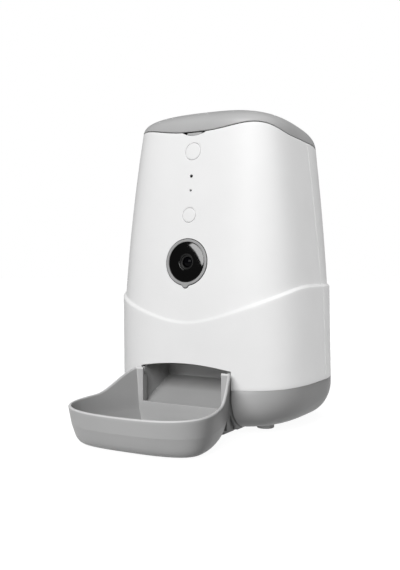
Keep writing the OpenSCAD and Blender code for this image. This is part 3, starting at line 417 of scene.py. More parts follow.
def shell_rows(heading):
    """Rows of a half shell: up the outside with its ledge, over the top edge and down the inside."""
    wave, top = wave_at(heading), lid_line(heading)

    def outer(size, z, inset=0.0):
        """A row of the outside, rounded off where the halves meet."""
        row = plan_row(heading, shrunk(size, inset), square_at(z), z)
        near = np.clip(PART_EDGE - np.abs(row[:, 1]), 0, PART_EDGE)
        row[:, 0] -= np.sign(row[:, 0]) * (PART_EDGE - np.sqrt(PART_EDGE ** 2 - near ** 2))
        return row

    rows = [outer(low_size(SEAM_Z), SEAM_Z + SHELL_FOOT * (1 - math.cos(t)), SHELL_FOOT * (1 - math.sin(t)))
            for t in QUARTER]
    foot, low, high = SEAM_Z + SHELL_FOOT, wave - LEDGE_UNDER, wave + LEDGE_OVER
    for k in np.linspace(0.04, 1, 24):
        rows.append(outer(low_size(foot + (low - foot) * k), foot + (low - foot) * k))
    below, above = low_size(low), up_size(high)
    for k in np.linspace(0, 1, 12)[1:-1]:
        share = k * k * (3 - 2 * k)
        rows.append(outer([b + (a - b) * share for b, a in zip(below, above)], low + (high - low) * k))
    for k in np.linspace(0, 1, 60):
        z = high + (top - SHELL_EDGE - high) * k
        rows.append(outer(up_size(z), z))
    rows += [outer(up_size(top), top - SHELL_EDGE * (1 - math.sin(t)), SHELL_EDGE * (1 - math.cos(t)))
             for t in QUARTER[1:]]
    for k in np.linspace(0, 1, 9):
        z = top + (STEP_Z - top) * k
        rows.append(plan_row(heading, shrunk(up_size(z), SHELL_WALL), square_at(z), z))
    rows += [plan_row(heading, shrunk(BODY, SHELL_WALL), BODY_SQUARE, SEAM_Z + (STEP_Z - SEAM_Z) * k)
             for k in (0.4, 0.0)]
    return rows


def half_headings(middle):
    """Headings of a half shell, with a few close columns for the rounded parting edge."""
    inner = even_headings(190, middle - 90.0, middle + 90.0)
    reach, n = (BODY[1], BODY_SQUARE[0]) if middle == 0 else (BODY[2], BODY_SQUARE[1])
    shares = (1.0, 0.7, 0.45, 0.25, 0.1)
    near = [math.degrees(math.asin((PART_EDGE * k / reach) ** (n / 2))) for k in shares]
    start, end = middle - 90.0, middle + 90.0
    ends = [start] + [start + t for t in reversed(near)] + [end - t for t in near] + [end]
    room = 1.02 * near[0] + 0.2
    keep = inner[(inner > start + room) & (inner < end - room)]
    return np.sort(np.concatenate([keep, ends]))


def flared(r):
    """Cutter for a round hole through the front whose outer edge is rounded."""
    arc = [(r + HOLE_EDGE * (1 - math.cos(t)), HOLE_EDGE * (math.sin(t) - 1))
           for t in np.radians([0, 30, 60, 84])]
    return lathe([(AXIS, -HOLE_IN), (r, -HOLE_IN)] + arc + [(r + HOLE_EDGE, HOLE_OUT), (AXIS, HOLE_OUT)])


def lobed(turn, inset):
    """Radius of the camera bezel's outline: a circle and a small lobe below, joined by hollow fillets."""
    phi = np.abs((turn + 1.5 * np.pi) % (2 * np.pi) - np.pi)
    reach, near = BEZEL_R + LOBE_FILLET, LOBE_R + LOBE_FILLET
    meet = math.acos((reach ** 2 + LOBE_Y ** 2 - near ** 2) / (2 * reach * LOBE_Y))
    along = np.array([reach * math.sin(meet), reach * math.cos(meet) - LOBE_Y]) / near
    touch = math.atan2((LOBE_R - inset) * along[0], LOBE_Y + (LOBE_R - inset) * along[1])
    hollow_part = np.clip((LOBE_FILLET + inset) ** 2 - (reach * np.sin(meet - phi)) ** 2, 0, None)
    lobe_part = np.clip((LOBE_R - inset) ** 2 - (LOBE_Y * np.sin(phi)) ** 2, 0, None)
    fillet = reach * np.cos(meet - phi) - np.sqrt(hollow_part)
    lobe = LOBE_Y * np.cos(phi) + np.sqrt(lobe_part)
    return np.where(phi >= meet, BEZEL_R - inset, np.where(phi >= touch, fillet, lobe))


def lobed_rows(profile):
    """Rows of a ring that follows the bezel's outline; a point of the profile is (inset, height)
    from the outline, or (None, height, radius) on a plain circle."""
    close = np.linspace(-90 - LOBE_SPAN, -90 + LOBE_SPAN, 60)
    turn = np.radians(np.concatenate([close, np.linspace(close[-1] + 1.5, close[0] + 358.5, 190)]))
    rows = []
    for point in profile:
        r = lobed(turn, point[0]) if point[0] is not None else np.full(turn.shape, point[2])
        rows.append(np.stack([r * np.cos(turn), r * np.sin(turn), np.full(turn.shape, point[1])], 1))
    return rows


def slot(half_length, half_width, depth):
    """Cutter for a slot with round ends: it lies along local X and goes through along local Z."""
    turn = np.radians(np.arange(48) * 7.5)
    x = np.sign(np.cos(turn).round(6)) * (half_length - half_width) + half_width * np.cos(turn)
    return loft([np.stack([x, half_width * np.sin(turn), np.full(48, z)], 1) for z in (-depth, depth)])


def rod_x(y, z, profile, count=64):
    """A turned shape about an axis along X at that height."""
    lay = Matrix.Rotation(math.radians(90), 4, "Z") @ Matrix.Rotation(math.radians(90), 4, "X")
    return placed(lathe(profile, count), Matrix.Translation((0, y, z)) @ lay)


# White ABS from a fine matt tool: bright, with only a wide, weak sheen on the curved flanks.
white_abs = moulded("white moulded ABS", "#F3F3F3", "#F0F0F0", 0.56, 0.6, 0.06)
front = mesh_piece("front_shell", *loft(shell_rows(half_headings(0.0)), False, True), white_abs)
arch_rise = OUTLET_TOP_Z - OUTLET_SIDE_Z
arch_r = (OUTLET_HALF ** 2 + arch_rise ** 2) / (2 * arch_rise)
arch_x = np.linspace(-OUTLET_HALF, OUTLET_HALF, 61)
arch_z = OUTLET_TOP_Z - arch_r + np.sqrt(arch_r ** 2 - arch_x ** 2)
arch = [(-OUTLET_HALF, OUTLET_LOW_Z)] + list(zip(arch_x, arch_z)) + [(OUTLET_HALF, OUTLET_LOW_Z)]
outlet = loft([[(x, y, z) for x, z in arch] for y in (OUTLET_Y, -BODY[1] - CLEAR)])
notch_r = (TAB_NOTCH ** 2 + TAB_DROP ** 2) / (2 * TAB_DROP)
notch_z = float(lid_line(np.array([0.0]))[0]) - TAB_DROP + notch_r
notch_place = Matrix.Translation((0, -up_size(SHOULDER_Z)[1], notch_z))
notch_axis = notch_place @ Matrix.Rotation(math.radians(90), 4, "X")
camera_frame = front_frame(CAMERA_Z)
seat = loft(lobed_rows([(-BEZEL_GAP, BEZEL_SEAT), (-BEZEL_GAP, HOLE_OUT)]))
openings = [outlet, placed(drum(notch_r, -TAB_DEEP, TAB_DEEP, 240), notch_axis),
            placed(seat, camera_frame), placed(drum(CAMERA_BORE, -HOLE_IN, HOLE_OUT), camera_frame)]
openings += [placed(flared(r + BUTTON_GAP), front_frame(z)) for z, r in
             ((FEED_Z, FEED_R), (PAIR_Z, PAIR_R), (LIGHT_Z, LIGHT_R), (MIC_Z, MIC_R))]
for shape in openings:
    cut(front, shape)
dress(front, "housing", "front_shell")

rear = mesh_piece("rear_shell", *loft(shell_rows(half_headings(180.0)), False, True), white_abs)
hinge_z = float(lid_line(np.array([180.0]))[0]) + LID_GAP / 2
pin_hole = [(AXIS, -PIN_HALF), (PIN_BORE, -PIN_HALF), (PIN_BORE, PIN_HALF), (AXIS, PIN_HALF)]
middle_slot = (GRILLE_COUNT - 1) / 2
grille = [(0, GRILLE_Y, SPEAKER_Z + GRILLE_PITCH * (k - middle_slot)) for k in range(GRILLE_COUNT)]
grille_slot = slot(GRILLE_HALF, GRILLE_HALF_WIDE, GRILLE_DEEP)
cut(rear, repeated("grille", grille_slot, grille, white_abs, (90, 0, 0)))
for side in (-1, 1):
    near = KNUCKLE_HALF + KNUCKLE_GAP
    low, high = sorted((side * near, side * (near + KNUCKLE_LEN)))
    cut(rear, rod_x(HINGE_Y, hinge_z, rounded(KNUCKLE_R, low, high, KNUCKLE_EDGE)), "UNION")
    cut(rear, block((low, EAR_ROOT_Y, hinge_z - EAR_DEEP), (high, HINGE_Y, hinge_z - LID_GAP)), "UNION")
cut(rear, rod_x(HINGE_Y, hinge_z, pin_hole))
dress(rear, "housing", "rear_shell")

# Lid: a grey ABS dome whose edge follows the wavy top of the shells, hinged at the back on a
# steel pin. The latch tab sits in a notch of the front shell and is pressed in to free the lid.
LID_TOP, LID_WALL, KNUCKLE_ROOT_Y, TAB_EDGE = 302.0, 2.4, 89.0, 0.35
CROWN_R = 0.3  # the dome closes on a ring no smaller than this
WELD, FLAT_TURN, SHARP_TURN = 0.005, 0.5, 30.0  # what an eased copy merges, flattens and rounds
DOME_LOW, DOME_TILT, DOME_FRONT, DOME_REAR, DOME_BLEND = 268.63, 0.053, 2.0, 1.24, 80.0
DOME_ROUND, DOME_BEND, CROWN_TURN = 0.81, (1.85, 1.27, 1.51), 88.5


def lid_row(share, inset=0.0, drop=0.0):
    """A row of the dome at a share of the way from its edge (0) to its crown (1): one dome that is
    fuller at the front, trimmed by the wavy line."""
    low = lid_line(around) + LID_GAP
    y = plan(around, up_size(SHOULDER_Z), square_at(SHOULDER_Z))[1]
    foot = np.minimum(DOME_LOW - DOME_TILT * y, low)
    u = np.clip((y + DOME_BLEND) / (2 * DOME_BLEND), 0, 1)
    power = DOME_FRONT + (DOME_REAR - DOME_FRONT) * u * u * (3 - 2 * u)
    start = np.arcsin(((low - foot) / (LID_TOP - foot)) ** power)
    turn = start + (math.radians(CROWN_TURN) - start) * share
    c = np.cos(turn) / np.cos(start)
    size, square = up_size(low), square_at(low)
    size = [np.maximum(s * c ** bend - inset, CROWN_R) for s, bend in zip(size, DOME_BEND)]
    square = [square[0] + (2 - square[0]) * DOME_ROUND * (np.sin(turn) - np.sin(start)), square[1]]
    return plan_row(around, size, square, foot + (LID_TOP - foot) * np.sin(turn) ** (1 / power) - drop)


def eased_copy(name, material, edge, segments=3):
    """A copy of a CAD solid with its edges rounded, as a moulding has them."""
    made = bpy.data.objects.new(name + "_eased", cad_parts[name].data.copy())
    bpy.context.scene.collection.objects.link(made)
    made.data.materials.clear()
    made.data.materials.append(material)
    work = bmesh.new()
    work.from_mesh(made.data)
    bmesh.ops.remove_doubles(work, verts=work.verts, dist=WELD * MM)
    bmesh.ops.dissolve_limit(work, angle_limit=math.radians(FLAT_TURN), verts=work.verts, edges=work.edges)
    work.to_mesh(made.data)
    work.free()
    ease = made.modifiers.new("ease", "BEVEL")
    ease.width, ease.segments, ease.limit_method = edge * MM, segments, "ANGLE"
    ease.angle_limit = math.radians(SHARP_TURN)
    return bake(made)


inner_shares = (0.93, 0.85, 0.75, 0.65, 0.55, 0.46, 0.38, 0.3, 0.23, 0.16, 0.1, 0.06)
outer_shares = np.concatenate([np.linspace(0.18, 1, 15) ** 2 * 0.25, np.linspace(0.27, 1, 48)])
lid_rows = [lid_row(share, LID_WALL, LID_WALL) for share in inner_shares]
lid_rows += [lid_row(0, LID_WALL), lid_row(0, SEAM_EDGE),
             lid_row(0, 0.3 * SEAM_EDGE, -0.3 * SEAM_EDGE), lid_row(0, 0, -SEAM_EDGE)]
lid_rows += [lid_row(share) for share in outer_shares]
lid = mesh_piece("lid", *loft(lid_rows), grey_abs)
cut(lid, rod_x(HINGE_Y, hinge_z, rounded(KNUCKLE_R, -KNUCKLE_HALF, KNUCKLE_HALF, KNUCKLE_EDGE)), "UNION")
cut(lid, block((-KNUCKLE_HALF, KNUCKLE_ROOT_Y, hinge_z + LID_GAP),
               (KNUCKLE_HALF, HINGE_Y, hinge_z + KNUCKLE_R)), "UNION")
cut(lid, rod_x(HINGE_Y, hinge_z, pin_hole))
dress(lid, "lid", "lid")
dress(eased_copy("latch_tab", grey_abs, TAB_EDGE), "latch", "latch_tab")

# Chute: a grey ABS moulding between the outlet and the bowl, with a ramp, two side walls and a
# back wall; its rails hold the tongue of the bowl down.
CHUTE_EDGE = 0.5
# The same ABS where food runs over it: painted a shade deeper than the base and lid for the shade inside
# the outlet, and a little duller.
shaded_grey_abs = moulded("grey moulded ABS with painted shade", "#A2A2A2", "#9D9D9D", 0.45, 0.6, 0.12)
chute = dress(eased_copy("chute", shaded_grey_abs, CHUTE_EDGE), "housing", "chute")

# Bowl: a grey ABS tray that slides out to the front. Its rim climbs towards the outlet and its back
# wall is cut away for the ramp. Cheeks close the gap beside the chute; a flat tongue and two wings
# reach in under it.
BOWL_REACH, BOWL_BACK, BOWL_HALF, BOWL_SQUARE, BOWL_SQUARE_GAIN = 212.0, 111.5, 68.0, 2.5, 0.03
BOWL_WIDE, BOWL_TAPER, BOWL_BEND = 176.0, 132.0, 1.4
BOWL_Z, BOWL_WALL, BOWL_FLOOR, BOWL_SOLE = 1.5, 2.2, 1.5, 3.0
TONGUE_HALF, TONGUE_Y, TONGUE_T = 37.0, -65.5, 3.0
RIM_LOW, RIM_HIGH, RIM_CLIMB, RIM_START, RIM_END, RIM_WIDE = 32.2, 57.6, 8.5, 0.56, 1.02, 2.5
# The last two: depths below the top of the rim over which its painted highlight is full, then fades out.
RIM_ROUND, RIM_EDGE, HIGHLIGHT_FULL, HIGHLIGHT_END = 1.3, 0.4, 0.5, 1.4
CREASE_Z, LIP_HALF, LIP_Z, LIP_FRONT, LIP_REAR = 18.0, 40.9, 25.8, 9.0, 5.0
BEAD_R, BEAD_SINK, BEAD_OVER, BEAD_EDGE = 1.15, 0.3, 0.5, 0.1
CHEEK = ((31.5, -113.0, 7.5), (46.3, -107.6, 50.6))
WING = ((40.3, -113.0, 4.0), (42.8, -93.0, 20.0))
WEB = ((35.0, -113.0, 4.0), (42.8, -93.0, 6.0))
# height, then how far the outside is drawn in at the front, the sides and the back
OUTSIDE = [(BOWL_Z, 15.5, 14.5, 7.0), (BOWL_Z + 0.5, 12.9, 11.9, 4.6), (BOWL_Z + 2, 10.4, 9.4, 2.8),
           (BOWL_Z + 4.2, 8.5, 7.6, 1.6), (BOWL_Z + 7, 6.9, 6.1, 0.9), (13.0, 5.1, 4.6, 0.4),
           (CREASE_Z - 0.5, 3.3, 3.2, 0.0), (CREASE_Z, 3.06, 3.0, 0.0)]


def bowl_side(y):
    """Half width of the bowl where its sides draw in towards the housing."""
    reach = np.clip(y + BOWL_WIDE, 0, None) / BOWL_TAPER
    return BOWL_HALF * (1 - reach ** BOWL_BEND) ** (1 / BOWL_BEND)


def bowl_plan(turns, insets):
    """Plan of the bowl with its own inset at the front, the sides and the back: rounded corners in
    front, then sides that draw in towards the housing, then straight across the back."""
    turn, square = np.abs(turns), BOWL_SQUARE + BOWL_SQUARE_GAIN * insets[1]
    s, c = np.sin(np.radians(turn)), np.clip(np.cos(np.radians(turn)), 0, 1)
    y = -BOWL_WIDE + (BOWL_WIDE - BOWL_BACK - insets[2]) * np.clip((turn - 90) / 50, 0, 1)
    x_front = (BOWL_HALF - insets[1]) * s ** (2 / square)
    y_front = -BOWL_WIDE - (BOWL_REACH - insets[0] - BOWL_WIDE) * c ** (2 / square)
    x_rear = (bowl_side(y) - insets[1]) * np.clip((180 - turn) / 40, 0, 1)
    return np.sign(turns) * np.where(turn <= 90, x_front, x_rear), np.where(turn <= 90, y_front, y)


def rim_at(y):
    """Height of the rim: a slight climb all along, then a steep one towards the outlet."""
    t = (y + BOWL_REACH) / (BOWL_REACH - BOWL_BACK)
    u = np.clip((t - RIM_START) / (RIM_END - RIM_START), 0, 1)
    return RIM_LOW + RIM_CLIMB * t + (RIM_HIGH - RIM_LOW - RIM_CLIMB) * u * u * (3 - 2 * u)


def bowl_row(insets, z):
    """A row of points round the bowl, at one height or at a height for each turn."""
    x, y = bowl_plan(bowl_turn, insets)
    return np.stack([x, y, np.broadcast_to(np.asarray(z, float), x.shape)], 1)


def painted_rim_highlight(material, pale):
    """Paints a highlight on the top of the rim: a paler colour that fades out below the top, along the same
    climb as the rim.
    """
    tree = material.node_tree
    shader = tree.nodes["Principled BSDF"]
    place = node(tree, "ShaderNodeTexCoord").outputs["Object"]
    place = node(tree, "ShaderNodeSeparateXYZ", {"Vector": place}).outputs
    front_y, run = (PARTING_Y - BOWL_REACH) * MM, (BOWL_REACH - BOWL_BACK) * MM
    climb = node(tree, "ShaderNodeMapRange", {
        "Value": place["Y"], "From Min": front_y, "From Max": front_y + run,
        "To Min": RIM_LOW * MM, "To Max": (RIM_LOW + RIM_CLIMB) * MM}, clamp=False)
    rise = node(tree, "ShaderNodeMapRange", {
        "Value": place["Y"], "From Min": front_y + run * RIM_START, "From Max": front_y + run * RIM_END,
        "To Min": 0.0, "To Max": (RIM_HIGH - RIM_LOW - RIM_CLIMB) * MM}, interpolation_type="SMOOTHSTEP")
    top = node(tree, "ShaderNodeMath", {
        0: climb.outputs["Result"], 1: rise.outputs["Result"]}, operation="ADD")
    depth = node(tree, "ShaderNodeMath", {0: top.outputs[0], 1: place["Z"]}, operation="SUBTRACT")
    # Painted highlight: full just under the top of the rim, gone a little lower down.
    rim_highlight = node(tree, "ShaderNodeMapRange", {
        "Value": depth.outputs[0], "From Min": HIGHLIGHT_FULL * MM, "From Max": HIGHLIGHT_END * MM,
        "To Min": 1.0, "To Max": 0.0})
    tone = shader.inputs["Base Color"].links[0].from_socket
    both = node(tree, "ShaderNodeMix", {
        0: rim_highlight.outputs["Result"], 6: tone, 7: linear(pale)}, data_type="RGBA")
    tree.links.new(both.outputs[2], shader.inputs["Base Color"])
    return material


# The deeper grey of the chute, as painted shade, and a painted highlight: a pale line along the top of the
# rim.
bowl_abs = painted_rim_highlight(moulded("grey ABS with painted shade and rim highlight", "#A7A7A7", "#A2A2A2", 0.45, 0.6, 0.12), "#CECECE")
fine_turn = np.linspace(-180, 180, 40001)
fine_x, fine_y = bowl_plan(fine_turn, (0, 0, 0))
fine_run = np.concatenate([[0], np.cumsum(np.hypot(np.diff(fine_x), np.diff(fine_y)))])
bowl_turn = np.interp(np.linspace(0, fine_run[-1], 281), fine_run, fine_turn)[:-1]
rim_z = rim_at(bowl_plan(bowl_turn, (0, 0, 0))[1])
crease = OUTSIDE[-1][1:]
bowl_rows = [bowl_row(insets, z) for z, *insets in OUTSIDE]
for k in (0.03, 0.3, 0.6, 0.85):
    bowl_rows.append(bowl_row([i * (1 - k) for i in crease], CREASE_Z + (rim_z - RIM_ROUND - CREASE_Z) * k))
for t in np.radians(np.linspace(0, 90, 7)):
    d = RIM_ROUND * (1 - math.cos(t))
    bowl_rows.append(bowl_row((d, d, d), rim_z - RIM_ROUND * (1 - math.sin(t))))
for t in np.radians(np.linspace(90, 0, 5)):
    d = RIM_WIDE - RIM_EDGE * (1 - math.cos(t))
    bowl_rows.append(bowl_row((d, d, d), rim_z - RIM_EDGE * (1 - math.sin(t))))
for k in (0.9, 0.75, 0.45, 0.2):
    insets = [BOWL_WALL + i * (1 - k) + (RIM_WIDE - BOWL_WALL) * k for i in crease]
    bowl_rows.append(bowl_row(insets, CREASE_Z + 1 + (rim_z - RIM_EDGE - CREASE_Z - 1) * k))
for z, *insets in reversed(OUTSIDE):
    lift = BOWL_SOLE if z < BOWL_Z + 1 else BOWL_FLOOR
    bowl_rows.append(bowl_row([BOWL_WALL + i for i in insets], z + lift))
bowl = mesh_piece("bowl", *loft(bowl_rows), bowl_abs)
cut(bowl, block((-TONGUE_HALF, -BOWL_BACK - CLEAR, BOWL_Z),
                (TONGUE_HALF, TONGUE_Y, BOWL_Z + TONGUE_T)), "UNION")
for low, high in (CHEEK, WING, WEB):
    cut(bowl, block(low, high), "UNION")
    cut(bowl, block((-high[0], *low[1:]), (-low[0], *high[1:])), "UNION")
cut(bowl, block((-LIP_HALF, -BOWL_BACK - LIP_FRONT, LIP_Z),
                (LIP_HALF, -BOWL_BACK + LIP_REAR, RIM_HIGH + CLEAR)))
bead = rounded(BEAD_R, -LIP_HALF - BEAD_OVER, LIP_HALF + BEAD_OVER, BEAD_EDGE)
cut(bowl, rod_x(-BOWL_BACK - BOWL_WALL / 2, LIP_Z - BEAD_SINK, bead), "UNION")
dress(bowl, "bowl", "bowl")

# Camera: a satin grey bezel with a small lobe below, set in the front shell; a gloss black window
# bonded into it, and the lens in its barrel at the middle.
BEZEL_FACE, BEZEL_EDGE, BEZEL_LOW, BEZEL_BACK = 0.7, 0.4, -0.3, -6.0
BEZEL_MOUTH, BEZEL_SHELF, BEZEL_TUBE, BEZEL_FLANGE, FLANGE_Z = 18.45, 16.0, 19.0, 20.0, -2.4
WINDOW_R, WINDOW_DOME, WINDOW_BEND, WINDOW_BACK, WINDOW_EDGE = 18.4, 0.5, 2.9, -2.6, 0.3
# A black ring under the bezel's edge fills the floor of the gap round it: painted shade for that gap.
SHADE_RING_OUT, SHADE_RING_IN, SHADE_RING_LOW, SHADE_RING_HIGH = -0.6, 0.9, -1.9, -0.35
BARREL_R, BARREL_BACK, BORE_R = 7.0, -13.0, 0.6
LENS_R, LENS_BACK, LENS_TOP, LENS_CURVE = 5.0, -4.0, -0.9, 7.0


def domed(r):
    """Height of the window's slightly domed face."""
    return 0.1 + WINDOW_DOME * (1 - (r / WINDOW_R) ** WINDOW_BEND)


# Satin ABS from a finer tool: an even mid grey with a tighter sheen than the base.
satin_grey = moulded("satin grey ABS", "#A7A7A7", "#A1A1A1", 0.38, 0.5, 0.08)
bezel_profile = [(0.0, BEZEL_LOW)]
bezel_profile += [(BEZEL_EDGE * (1 - math.cos(t)), BEZEL_FACE - BEZEL_EDGE * (1 - math.sin(t)))
                  for t in QUARTER]
bezel_profile += [(1.5, BEZEL_FACE), (None, BEZEL_FACE, BEZEL_MOUTH + 0.5),
                  (None, BEZEL_FACE - 0.1, BEZEL_MOUTH + 0.2), (None, BEZEL_FACE - 0.4, BEZEL_MOUTH + 0.05),
                  (None, WINDOW_BACK, BEZEL_MOUTH), (None, WINDOW_BACK, BEZEL_SHELF),
                  (None, BEZEL_BACK, BEZEL_SHELF), (None, BEZEL_BACK, BEZEL_TUBE),
                  (None, FLANGE_Z, BEZEL_TUBE), (None, FLANGE_Z, BEZEL_FLANGE), (1.0, BEZEL_LOW)]
bezel_shape = placed(loft(lobed_rows(bezel_profile), True, True), camera_frame)
bezel = mesh_piece("camera_bezel", *bezel_shape, satin_grey)
dress(bezel, "housing", "camera_bezel")

# Polished black acrylic: near black, and a mirror for whatever is bright.
black_gloss = moulded("black polished acrylic", "#060606", "#040404", 0.05, 0.9, 0.0, 1.49)
window_hole, hole_top, edge_top = BARREL_R + 0.1, domed(BARREL_R), domed(WINDOW_R)
window_profile = [(window_hole, WINDOW_BACK), (window_hole, hole_top - WINDOW_EDGE),
                  (window_hole + 0.1, hole_top - 0.08)]
window_profile += [(r, domed(r)) for r in np.linspace(BARREL_R + 0.45, WINDOW_R - 0.25, 40)]
window_profile += [(WINDOW_R - 0.1, edge_top - 0.08), (WINDOW_R, edge_top - WINDOW_EDGE),
                   (WINDOW_R, WINDOW_BACK)]
# The black ring in the gap round the bezel, as painted shade.
gap_shade_ring = loft(lobed_rows([(SHADE_RING_IN, SHADE_RING_LOW), (SHADE_RING_OUT, SHADE_RING_LOW),
                           (SHADE_RING_OUT, SHADE_RING_HIGH), (SHADE_RING_IN, SHADE_RING_HIGH)]), True, True)
window_shape = placed(joined(lathe(window_profile, 160), gap_shade_ring), camera_frame)
window = mesh_piece("camera_window", *window_shape, black_gloss)
dress(window, "housing", "camera_window")

# Black ABS from a fine matt tool: the steps of the barrel show as soft grey rings.
black_abs = moulded("black moulded ABS", "#161616", "#121212", 0.4, 0.5, 0.1)
barrel_shape = lathe([(LENS_R + 0.02, LENS_BACK), (LENS_R + 0.02, -1.4), (5.2, -1.15), (5.5, -1.15),
                      (5.7, -1.4), (6.1, -1.3), (6.35, 0.05), (6.5, 0.25), (6.75, 0.3), (BARREL_R, 0.1),
                      (BARREL_R, BARREL_BACK), (BORE_R, BARREL_BACK), (BORE_R, LENS_BACK)], 128)
barrel = mesh_piece("lens_barrel", *placed(barrel_shape, camera_frame), black_abs)
dress(barrel, "housing", "lens_barrel")
# Glass with an anti-reflection coating: almost no mirror, only depth.
lens_glass = moulded("coated lens glass", "#07070A", "#050507", 0.05, 0.9, 0.0, 1.62)
lens_glass.node_tree.nodes["Principled BSDF"].inputs["Specular IOR Level"].default_value = 0.03
lens_face = [(r, LENS_TOP - LENS_CURVE + math.sqrt(LENS_CURVE ** 2 - r * r))
             for r in np.linspace(LENS_R - 0.05, 0.3, 14)]
lens_back = [(AXIS, LENS_BACK), (LENS_R, LENS_BACK), (LENS_R, -2.6)]
glass_shape = lathe(lens_back + lens_face + [(AXIS, LENS_TOP)])
glass = mesh_piece("lens_glass", *placed(glass_shape, camera_frame), lens_glass)
dress(glass, "housing", "lens_glass")

# Buttons: two white ABS caps flush with the front shell, each with a retaining flange behind the
# wall and a stem to its switch. The status light is a smoked pipe; the microphone hears by a hole.
CROWN_H, CROWN_FALL, FLANGE_OUT, FLANGE_FRONT, FLANGE_BACK = 0.25, 0.12, 1.4, -3.3, -4.7
STEM_R, STEM_BACK, PIPE_BACK, PIPE_FACE = 2.5, -7.2, -10.4, -0.1


def button(r):
    """Points and faces of a button: its face sits on local Z = 0, with a very slight crown."""
    crown = [(k * r, CROWN_H - CROWN_FALL * k * k) for k in (0.85, 0.6, 0.3)]
    stem = [(AXIS, STEM_BACK), (STEM_R, STEM_BACK), (STEM_R, FLANGE_BACK)]
    flange = [(r + FLANGE_OUT, FLANGE_BACK), (r + FLANGE_OUT, FLANGE_FRONT), (r, FLANGE_FRONT)]
    edge = [(r, -0.25), (r - 0.1, -0.02), (r - 0.3, 0.1)]
    return lathe(stem + flange + edge + crown + [(AXIS, CROWN_H)])


for name, z, r in (("feed_button", FEED_Z, FEED_R), ("pair_button", PAIR_Z, PAIR_R)):
    cap = mesh_piece(name, *placed(button(r), front_frame(z)), white_abs)
    dress(cap, name, name)
# Smoked acrylic, unlit: a small dark dot with a glint.
smoked = moulded("smoked light pipe", "#2A2A2C", "#232325", 0.15, 0.5, 0.02, 1.49)
pipe_shape = lathe([(AXIS, PIPE_BACK), (LIGHT_R, PIPE_BACK), (LIGHT_R, PIPE_FACE - 0.3),
                    (LIGHT_R - 0.3, PIPE_FACE - 0.05), (AXIS, PIPE_FACE)], 40)
pipe = mesh_piece("light_pipe", *placed(pipe_shape, front_frame(LIGHT_Z)), smoked)
dress(pipe, "housing", "light_pipe")

# Hopper: a natural ABS bin under the lid, with a rim flange and a funnel down to the dispenser.
# It is moulded in one piece, drops in from above and stands on the throat of the dispenser.
HOPPER_Z, FUNNEL_Z, HOPPER_FRONT, HOPPER_WALL, HOPPER_GAP = 262.0, 220.0, 76.0, 2.0, 3.0
HOPPER_RIM_T, HOPPER_RIM_GAP, HOPPER_RIM_OUT, RIM_CORNER = 2.0, 0.8, 4.0, 0.4
THROAT_Z, THROAT_HALF, THROAT_MID, THROAT_DEEP, THROAT_SQUARE = 143.5, 35.0, -55.0, 24.0, (8, 8)


def throat_row(d, z):
    """A row round the throat of the funnel, drawn in by d."""
    size = (THROAT_HALF - d, THROAT_DEEP - d, THROAT_DEEP - d)
    return plan_row(around, size, THROAT_SQUARE, z) + [0, THROAT_MID, 0]


def hopper_row(d, z):
    """A row round the straight part of the bin, drawn in by d."""
    size = shrunk(up_size(z), SHELL_WALL + HOPPER_GAP + d)
    return plan_row(around, (size[0], HOPPER_FRONT - d, size[2]), square_at(z), z)


def rim_row(d, z):
    """A row round the rim flange of the bin, drawn in by d."""
    size = shrunk(up_size(HOPPER_Z), SHELL_WALL + HOPPER_RIM_GAP + d)
    return plan_row(around, (size[0], HOPPER_FRONT + HOPPER_RIM_OUT - d, size[2]), square_at(HOPPER_Z), z)


def funnel(d):
    """Rows of the funnel, from the throat up to the straight part of the bin."""
    low, high = throat_row(d, THROAT_Z), hopper_row(d, FUNNEL_Z)
    return [low + (high - low) * k for k in np.linspace(0, 1, 14)]


# ABS without pigment: a warm off-white, glossier than the outside.
natural_abs = moulded("natural moulded ABS", "#DCDBD6", "#D6D5CF", 0.4, 0.6, 0.1)
rim_under = HOPPER_Z - HOPPER_RIM_T
hopper_rows = funnel(0) + [
    hopper_row(0, rim_under), rim_row(RIM_CORNER, rim_under), rim_row(0, rim_under + RIM_CORNER),
    rim_row(0, HOPPER_Z - RIM_CORNER), rim_row(RIM_CORNER, HOPPER_Z),
    hopper_row(HOPPER_WALL - 0.5, HOPPER_Z), hopper_row(HOPPER_WALL, HOPPER_Z - 0.5)]
hopper_rows += funnel(HOPPER_WALL)[::-1]
hopper = mesh_piece("hopper", *loft(hopper_rows, True, True), natural_abs)
dress(hopper, "housing", "hopper")

# Lid liner and seal: a natural ABS plate inside the dome, with a soft silicone ring pressed on below
# it that rests on the rim of the hopper and keeps the food dry.
LINER_Z, LINER_T, LINER_IN, LINER_EDGE, LINER_MIDDLE = 267.5, 2.0, 4.9, 0.5, 12.0
SEAL_OUT, SEAL_IN, SEAL_LOW = 1.0, 4.0, 262.3
liner_size, liner_square = shrunk(up_size(LINER_Z), LINER_IN), square_at(LINER_Z)
liner_edge = [(LINER_EDGE, 0), (0.3 * LINER_EDGE, 0.3 * LINER_EDGE), (0, LINER_EDGE)]
liner_profile = [(LINER_MIDDLE, 0)] + liner_edge + [(d, LINER_T - h) for d, h in reversed(liner_edge)]
liner_rows = [plan_row(around, shrunk(liner_size, d), liner_square, LINER_Z + h) for d, h in liner_profile]
liner = mesh_piece("lid_liner", *loft(liner_rows), natural_abs)
dress(liner, "lid", "lid_liner")
# Thin silicone: paler than the feet, dull and slightly waxy.
seal_rubber = moulded("pale silicone", "#C9C9C8", "#C2C2C1", 0.55, 0.7, 0.2, 1.41)
seal_side = [(1.2, 0.0), (0.3, 0.3), (0.0, 0.9), (0.0, LINER_Z - SEAL_LOW)]
seal_profile = [(SEAL_OUT + d, SEAL_LOW + h) for d, h in seal_side]
seal_profile += [(SEAL_IN - d, SEAL_LOW + h) for d, h in reversed(seal_side)]
seal_rows = [rim_row(d, z) for d, z in seal_profile]
dress(mesh_piece("lid_seal", *loft(seal_rows, True, True), seal_rubber), "lid", "lid_seal")

